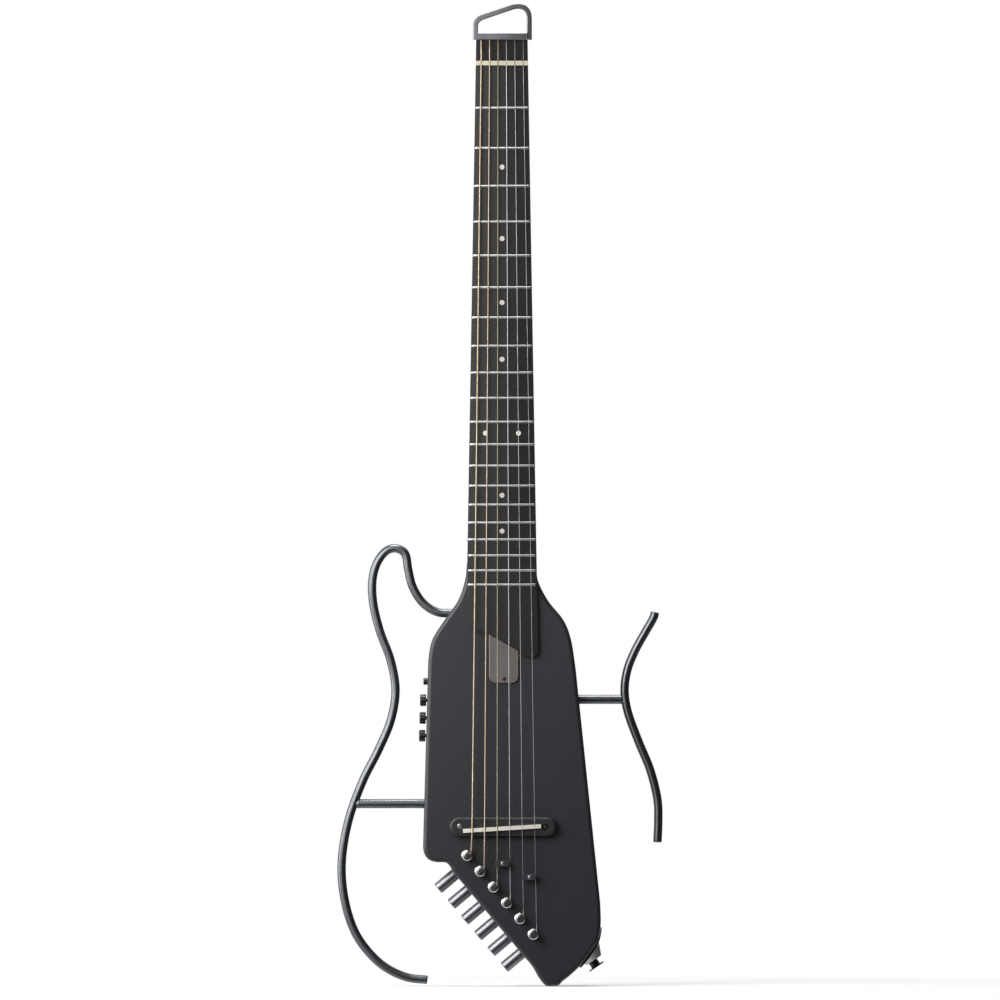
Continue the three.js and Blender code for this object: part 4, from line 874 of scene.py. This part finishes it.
# Head bar and hanging loop
dress(refined("head_bar", "anchor_bar", 0.35), "gunmetal", "head_bar", angle=50)
loop_left_shares = [(-1, 0.76), (-1, 0.51), (-0.69, 0.404)]
loop_right_shares = [(0.34, 0.047), (0.57, -0.033), (1, -0.06), (1, 0.5)]
crest, half, shift, room = 6.19, 23, 0.35, 20.75
left, right = (placed(shares, shift, crest, half, crest + loop_drop)
               for shares in (loop_left_shares, loop_right_shares))
flat = [(shift - half, bar_bottom_z), *bend(*left, steps=14), *bend(*right, steps=26)]
flat.append((shift + half, bar_bottom_z))
section = eased(rectangle(-2.25, 2.25, -5.5, 5.5), 0.9, 5)
item = mesh_object("hanging_strip", [sweep([Vector((x, 0, z)) for x, z in flat], section)])
carve(item, [block(shift - room, shift + room, -bar_front, bar_back, bar_bottom_z - overrun, -loop_drop)])
dress(item, "gunmetal", "head_loop", angle=35)

# Strings
string_looks = ("wound", "wound", "wound_grey", "plain", "plain", "plain")
ball_profile = [(0, 0.6), (0.3, 1.7), (0.8, 1.9), (2.6, 1.9), (3.1, 1.7), (3.4, 0.6)]
nut_xs = across_strings(nut_shift, nut_spread)
saddle_xs = across_strings(saddle_shift, saddle_spread)


def string_path(i, steps=36):
    """From the ball in the bar over nut and saddle, under a retainer if it has one, and round the post."""
    half = gauges[i] / 2
    nut_x, saddle_x, post = nut_xs[i], saddle_xs[i], posts[i]
    path = [Vector((nut_x, -anchor_height, z)) for z in (-loop_drop - 1.5, bar_bottom_z)]
    nut_y = -(board_thickness + fret_height + nut_action - crown_drop(nut_x)) - half
    path += [Vector((nut_x, nut_y, nut_z + nut_length)), Vector((nut_x, nut_y, nut_z))]
    saddle_y = -(board_thickness + fret_height + saddle_action - crown_drop(saddle_x)) - half
    break_z = saddle_line_z(saddle_x) - saddle_thickness / 2 - seat_gap
    path.append(Vector((saddle_x, saddle_y, break_z)))
    base = -(shoulder_top + winding_start + half)
    radius = waist_radius + fit_gap + half
    last = Vector((saddle_x, 0, break_z))
    for _, drop, held in retainers:
        if i in held:
            z = saddle_z - drop
            share = (last.z - z) / (last.z - post.z)
            last = Vector((lerp(saddle_x, post.x + radius, share), base, z))
            path += [last + UP * retainer_width / 2, last - UP * retainer_width / 2]
    reach = hypot(last.x - post.x, last.z - post.z)
    start = atan2(last.z - post.z, last.x - post.x) - acos(radius / reach)
    for k in range(winding_turns * steps + 1):
        turn = k / steps
        angle = start - turn * 2 * pi
        path.append(Vector((post.x + radius * cos(angle), base - turn * (gauges[i] + winding_gap),
                            post.z + radius * sin(angle))))
    return path


def over_edges(path, reach):
    """The path with its corners eased, so that a string bends over an edge."""
    out = [path[0]]
    for a, p, b in zip(path, path[1:], path[2:]):
        if min((p - a).length, (b - p).length) < 4 * reach:
            out.append(p)
            continue
        start = p + (a - p).normalized() * reach
        end = p + (b - p).normalized() * reach
        out += [start, p.lerp((start + end) / 2, 0.5), end]
    return out + [path[-1]]


for i, look in enumerate(string_looks):
    wire = sweep(over_edges(string_path(i), 0.3), ring_of(gauges[i] / 2, 12))
    ball = lathe(ball_profile, (nut_xs[i], -anchor_height, -loop_drop - 0.55), DOWN, 24)
    made(f"wire_{i + 1}", wire, look, f"string_{i + 1}", angle=60)
    made(f"ball_end_{i + 1}", ball, "brass", angle=40)

# String retainers
for n, (x, drop, held) in enumerate(retainers):
    z = saddle_z - drop
    under = shoulder_top + winding_start + max(gauges[i] for i in held) + seat_gap
    top = under + retainer_thickness
    half_length, half_width = retainer_length / 2, retainer_width / 2
    outline = eased(rectangle(x - half_length, x + half_length, z - half_width, z + half_width), 1.2, 5)
    stem = lathe([(0, retainer_stem), (under + 1 - seat_gap, retainer_stem)], (x, -seat_gap, z), FRONT, 24)
    made(f"string_tree_{n + 1}", [slab(outline, -top, -under, 0.5, 0.5, 3), stem], "satin",
         f"string_retainer_{n + 1}")
    dress(screw((x + 0.3, -top + 0.1, z), FRONT, 1.7, 0.6), "steel")

# Tuners: each is made at the origin, its post along -Y, its knob along X and the row of posts along Z
tooth_shares = [(0, 0), (0.12, 0.1), (0.26, 0.9), (0.35, 1), (0.44, 0.9), (0.58, 0.1), (0.7, 0)]
cap_profile = [(0, 2.5), (0.5, 2.7), (1, 3.3), (1.45, 4.05), (1.6, 4.2), (1.72, 4.2), (1.92, 4.0),
               (2.12, 3.5), (2.28, 2.85), (2.4, 2.1), (2.48, 1.2), (2.5, 0)]
ridge_profile = [(0.1, 1.4), (0.8, 1.85), (1.1, 1.9), (1.4, 1.85)]
knob_profile = [(17, 1.5), (17, 4.3), (17.25, 4.85), (17.7, 5.1), (18.6, 5.1), (18.8, 4.95), (19, 5.1),
                (36.7, 5.1), (37.2, 4.95), (37.6, 4.4), (37.6, 1.3), (37.1, 0.6), (37.1, 0)]
ring_profile = [(0.05, 3.9), (0.05, 5.15), (0.9, 5.15), (1.5, 5.0), (2.0, 4.65), (2.3, 4.2), (2.4, 3.7),
                (2.4, 3.2)]


def wheel_outline():
    points = []
    for tooth in range(gear_teeth):
        for turn, rise in tooth_shares:
            angle = (tooth + turn) / gear_teeth * 2 * pi
            radius = wheel_radius - tooth_depth * (1 - rise)
            points.append((radius * cos(angle), radius * sin(angle)))
    return points


def post_item(name):
    foot, neck_end = -25.3, shoulder_top - post_shoulder
    waist = shoulder_top + waist_height
    profile = [(foot, 0), (foot, 2.5), (foot + 0.4, post_radius), (neck_end, post_radius), (neck_end, 3.5),
               (neck_end + 0.2, 3.7), (shoulder_top - 0.15, 3.7), (shoulder_top, 3.5),
               (shoulder_top, waist_radius)]
    profile += [(waist + along, radius) for along, radius in cap_profile]
    item = mesh_object(name, [lathe(profile, (0, 0, 0), FRONT, 36)])
    top = waist + cap_profile[-1][0]
    carve(item, [block(-6, 6, -top - 1, -top + 2, -post_slot / 2, post_slot / 2)])
    carve(item, [slab(wheel_outline(), worm_depth - wheel_width / 2, worm_depth + wheel_width / 2)], "UNION")
    return item


def knob_shell():
    profile = [(-7.3, 0), (-7.3, shaft_radius), (-worm_half, shaft_radius)]
    for ridge in range(worm_ridges):
        profile += [(-worm_half + ridge * worm_pitch + along, radius) for along, radius in ridge_profile]
    profile += [(worm_half, 1.4), (worm_half, shaft_radius), *knob_profile]
    return lathe(profile, (0, worm_depth, worm_offset), RIGHT, 40)


def housing_items(wall=1.4, depth=12.4, sides=40, bore_radius=3.2):
    """The box behind the ledge, and the bushing that goes through the ledge."""
    top = ledge + seat_gap
    inner_side, outer_side, low = wall - housing_inner, housing_outer - wall, -7
    outer = eased(rectangle(-housing_inner, housing_outer, low, housing_outer), 1, 4)
    inner = eased(rectangle(inner_side, outer_side, low + wall, outer_side), 0.8, 3)
    case = mesh_object("box", [slab(outer, top, top + depth, 0.4, 0, 2)])
    carve(case, [slab(inner, top + wall, top + depth + overrun)])
    carve(case, [lathe([(0, 1.8), (22, 1.8)], (-9, worm_depth, worm_offset), RIGHT, 24)])
    sleeve = [(-top - wall, bushing_radius), *ring_profile, (-top - wall, bore_radius)]
    rings = []
    for s in range(sides):
        turn = 2 * pi * s / sides
        rings.append([(r * cos(turn), -a, r * sin(turn)) for a, r in sleeve])
    carve(case, [lathe([(0, bore_radius), (30, bore_radius)], (0, 30, 0), FRONT, sides)])
    return case, mesh_object("tube", [loft(rings, closed=True)])


case, tube = housing_items()
post_source = post_item("post_source")
knob_source = mesh_object("knob_source", [knob_shell()])
tuner_turned = Matrix((out_of_edge, BACK, along_tuners)).transposed().to_4x4()
for i, post in enumerate(posts, 1):
    place = Matrix.Translation(post * MM) @ tuner_turned
    for source, name, look, body, nodes in (
            (tube, "bushing", "chrome", "guitar", [f"tuner_housing_{i}"]),
            (case, "gear_box", "gunmetal", "guitar", []),
            (post_source, "string_post", "chrome", f"tuning_post_{i}", [f"tuner_post_{i}"]),
            (knob_source, "tuning_knob", "knob", f"tuning_key_{i}", [f"tuner_knob_{i}"])):
        item = object_of(f"{name}_{i}", source.data.copy())
        item.data.transform(place)
        dress(item, look, *nodes, body=body, angle=40)
for item in (case, tube, post_source, knob_source):
    bpy.data.objects.remove(item)

# Frame rods and struts
left_frame_shares = [
    (1.223, 0.15), (1.164, 0.1496), (1.092, 0.146), (1.017, 0.138), (0.918, 0.12), (0.823, 0.087),
    (0.776, 0.05), (0.734, 0.011), (0.636, 0), (0.534, 0.004), (0.423, 0.029), (0.362, 0.067), (0.362, 0.12),
    (0.442, 0.19), (0.569, 0.259), (0.627, 0.328), (0.572, 0.398), (0.425, 0.468), (0.249, 0.537),
    (0.079, 0.63), (0.001, 0.723), (0.015, 0.792), (0.097, 0.862), (0.207, 0.908), (0.402, 0.954),
    (0.569, 0.978), (0.779, 0.995), (1, 1)]
right_frame_shares = [
    (0.9, 0), (0.868, 0.02), (0.64, 0.08), (0.311, 0.167), (0.08, 0.253), (0, 0.34), (0.083, 0.427),
    (0.399, 0.557), (0.763, 0.688), (0.976, 0.818), (0.997, 0.905), (0.973, 1)]
left_frame_left = upper_peg_entry - peg_straight - left_frame_shares[0][0] * left_frame_width
left_route = [Vector((upper_peg_end - fit_gap, 0, upper_peg_z)), *rod_curve(
    placed(left_frame_shares, left_frame_left, left_frame_top, left_frame_width, left_frame_height), 12)]
right_route = rod_curve(placed(right_frame_shares, right_frame_left, body_top_z - right_frame_drop,
                               right_frame_width, right_frame_height), 12)


def strut(peg_end, z, route):
    """A straight bar from its peg in the body to the rod, with a thin weld seam where they meet."""
    meet = min((p for p in route if abs(p.x) > body_left), key=lambda p: abs(p.z - z)).x
    length = abs(meet - peg_end)
    r = rod_radius
    profile = [(0, 0), (0, r - 0.6), (0.6, r), (length - r - 0.9, r), (length - r - 0.3, r + 0.12),
               (length - r * 0.8, r + 0.15), (length - r * 0.45, r * 0.8), (length - r * 0.45, 0)]
    return lathe(profile, (peg_end, rod_y, z), RIGHT if meet > peg_end else LEFT, 28)


peg = strut_peg_length - fit_gap
struts = {"left": strut(lower_peg_entry + peg, left_strut_z, left_route),
          "right": strut(right_peg_entry - peg, right_strut_z, right_route)}
for side, route in (("left", left_route), ("right", right_route)):
    bar = moved(rod(route, rod_radius), Matrix.Translation((0, rod_y, 0)))
    made(f"{side}_rod", bar, "rod", f"{side}_frame_rod", body=f"{side}_frame", angle=50)
for side, bar in struts.items():
    made(f"{side}_brace", bar, "rod", f"{side}_strut", body=f"{side}_frame", angle=50)

# Side controls: each is turned from its outer face inwards
knob_rim_profile = [(0.15, 0), (0, 0.5), (0, 4.1), (0.15, 4.6), (0.5, 5.0), (0.9, 5.1), (4.9, 5.1),
                    (5.25, 5.0), (5.4, 4.7)]
button_rim_profile = [(0.1, 0), (0, 0.5), (0, 2.3), (0.2, 2.75), (0.6, 3), (4.2, 3)]


def control(rim, stem_radius, face, inner_end, z, sides):
    stem = [(rim[-1][0], stem_radius), (inner_end - face, stem_radius), (inner_end - face, 0)]
    return lathe(rim + stem, (face, control_depth, z), RIGHT, sides)


controls_face = cavity_left + fit_gap
for n, z in enumerate(knob_zs, 1):
    face = left_side_at(z) - control_standoff - knob_rim_profile[-1][0]
    made(f"volume_knob_{n}", control(knob_rim_profile, 1.6, face, controls_face + 4, z, 40), "gloss",
         f"control_knob_{n}", body=f"knob_{n}")
face = left_side_at(button_z) - button_proud
made("press_button", control(button_rim_profile, 1.4, face, controls_face + 2, button_z, 32), "gloss",
     "push_button", body="button")

# Strap boss, plate and button
boss_turn, plate_skew = radians(55.6), radians(15)
boss_height, cone_depth, cone_aside = 6, 22.2, 1.2
boss_axis = Vector((cos(boss_turn), 0, -sin(boss_turn)))
boss_face = Vector((boss_seat[0], rod_y, boss_seat[1])) + boss_axis * boss_height
cone_profile = [(0, 17.3), (19.9, 8.1), (20.5, 7.7), (20.9, 7.0), (21, 6.2), (21, 0)]
pin_profile = [(-2, 0), (-2, 4.0), (-0.6, 4.2), (2.4, 4.1), (3.2, 4.3), (3.6, 4.8), (3.65, 7.1), (3.85, 7.4),
               (4.5, 7.45), (4.8, 7.3), (4.9, 6.9), (4.9, 3.2), (4.75, 3.0), (4.1, 3.0), (4.1, 0)]


def body_moved(distance, past=overrun):
    """A plain block of the body's outline, moved along the boss."""
    shift = boss_axis * distance
    return slab([(x + shift.x, z + shift.z) for x, z in body_outline], -past, body_thickness + past)


def keep_largest(sheet):
    """Deletes all loose parts of a mesh but the one with the most corners."""
    groups, left = [], set(sheet.verts)
    while left:
        group = [left.pop()]
        for corner_point in group:
            beside = {edge.other_vert(corner_point) for edge in corner_point.link_edges} & left
            left -= beside
            group += beside
        groups.append(group)
    for group in sorted(groups, key=len)[:-1]:
        bmesh.ops.delete(sheet, geom=group, context="VERTS")


aside = Vector((-boss_axis.z, 0, boss_axis.x))
root = boss_face - boss_axis * cone_depth + aside * cone_aside
cone = mesh_object("strap_cone", [lathe(cone_profile, root, boss_axis, 60)])
carve(cone, [body_moved(2.1)])
dress(cone, "cone", "strap_boss")
turn = Matrix.Rotation(boss_turn - plate_skew, 4, "Y")
turn.translation = boss_face
shape = eased(rectangle(-11, 27, -15, 15), 9, 8)
prism = loft([[(x, y, z) for z, y in shape] for x in (-21, 21)])
plate = mesh_object("strap_plate", [moved(prism, turn)])
carve(plate, [body_moved(1.85)], "INTERSECT")
carve(plate, [body_moved(fit_gap, overrun + 1)])
edit(plate.data, keep_largest)
dress(plate, "plastic", "strap_boss_plate")
made("strap_pin", lathe(pin_profile, boss_face, boss_axis, 44), "gloss", "strap_button")

# Finishes of the CAD pieces that stay
kept = {"steel": ["truss_rod", "potentiometer_1", "potentiometer_2", "potentiometer_3"],
        "brass": ["saddle_pickup", "frame_sleeve_upper_left", "frame_sleeve_lower_left",
                  "frame_sleeve_right"],
        "board": ["circuit_board"], "battery": ["battery"], "plastic": ["button_switch"]}
for look, names in kept.items():
    for name in names:
        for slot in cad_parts[name].material_slots:
            slot.material = looks[look][0]

# Camera, from far off as in the photo. From here on, lengths are in metres.
distance, picture_width, sensor = 30.0, 0.8545, 36
camera = object_of("camera", bpy.data.cameras.new("camera"))
camera.location = Vector((-0.00162, 0, -0.4158)) + FRONT * distance
camera.rotation_euler = (pi / 2, 0, 0)
camera.data.sensor_width = sensor
camera.data.lens = sensor * distance / picture_width
camera.data.clip_end = 100
scene.camera = camera

# Room and light
WHITE = (1, 1, 1, 1)


def build_room():
    """White for what the camera, a mirror or glass sees, and a dim sky for the rest."""
    world = bpy.data.worlds.new("studio")
    scene.world = world
    world.use_nodes = True
    tree = world.node_tree
    rays = node(tree, "LightPath").outputs
    seen = rays["Is Camera Ray"]
    for key in ("Is Glossy Ray", "Is Transmission Ray"):
        seen = combined(tree, "MAXIMUM", seen, rays[key])
    sky = fill(tree.nodes["Background"], Color=WHITE, Strength=0.2)
    white = node(tree, "Background", Color=WHITE)
    fill(tree.nodes["World Output"], Surface=mixed_shader(tree, seen, sky.outputs[0], white.outputs[0]))


def card(name, corners, material, place, hidden_from):
    mesh = bpy.data.meshes.new(name)
    mesh.from_pydata(corners, [], [tuple(range(len(corners)))])
    mesh.materials.append(material)
    item = object_of(name, mesh)
    item.location = place
    for rays in hidden_from:
        setattr(item, f"visible_{rays}", False)


def build_floor(half=4, drop=0.0002):
    """Pale and matt near the object, and blending into the white room further out."""
    material, tree = new_material("floor")
    shader = fill(tree.nodes["Principled BSDF"], Base_Color=(0.9, 0.9, 0.9, 1), Roughness=1,
                  Specular_IOR_Level=0)
    white = node(tree, "Emission", Color=WHITE)
    place = node(tree, "TexCoord").outputs["Object"]
    away = node(tree, "VectorMath", operation="LENGTH", Vector=place).outputs["Value"]
    seen = combined(tree, "MULTIPLY", spread(tree, away, 0.05, 1, 0.22, 0.75),
                    node(tree, "LightPath").outputs["Is Camera Ray"])
    fill(tree.nodes["Material Output"], Surface=mixed_shader(tree, seen, shader.outputs[0], white.outputs[0]))
    corners = [(x, y, 0) for x, y in rectangle(-half, half, -half, half)]
    card("floor", corners, material, (0, 0, (cut_end.z - tip_reach) * MM - drop), ("diffuse", "glossy"))


def flag(name, corners, brightness):
    """A dark card that only mirrors see, which gives glossy surfaces their dark side."""
    material, tree = new_material(name)
    glow = node(tree, "Emission", Color=(brightness, brightness, brightness * 1.06, 1))
    fill(tree.nodes["Material Output"], Surface=glow.outputs[0])
    card(name, corners, material, (0, 0, 0), ("camera", "diffuse", "shadow", "transmission"))


def lamp(name, place, towards, width, height, power):
    data = bpy.data.lights.new(name, "AREA")
    data.shape = "RECTANGLE"
    data.size, data.size_y, data.energy = width, height, power
    item = object_of(name, data)
    item.location = place
    item.rotation_euler = (Vector(place) - Vector(towards)).to_track_quat("Z", "Y").to_euler()
    item.visible_camera = False


build_room()
build_floor()
flag("flag_right", [(3, -0.5, -3), (3, 5, -3), (3, 5, 3), (3, -0.5, 3)], 0.1)
flag("flag_front", [(x, -0.5, z) for x, z in ((-0.6, -1.4), (3, -1.4), (3, 1.2), (0.18, 1.2), (0.05, -0.45))],
     0.05)
flag("flag_neck", [(x, -0.08, z) for x, z in rectangle(0.002, 0.09, -0.46, 0.03)], 0.03)
lamp("key", (-0.8, -1.0, -0.05), (0, 0, -0.45), 0.8, 0.9, 17)
lamp("strip", (-1.6, -0.3, -0.3), (0, 0, -0.45), 0.5, 1.4, 16)
lamp("top", (0, 0, 1.3), (0, 0, -1), 0.9, 0.9, 31)
scene.view_settings.view_transform = "Standard"
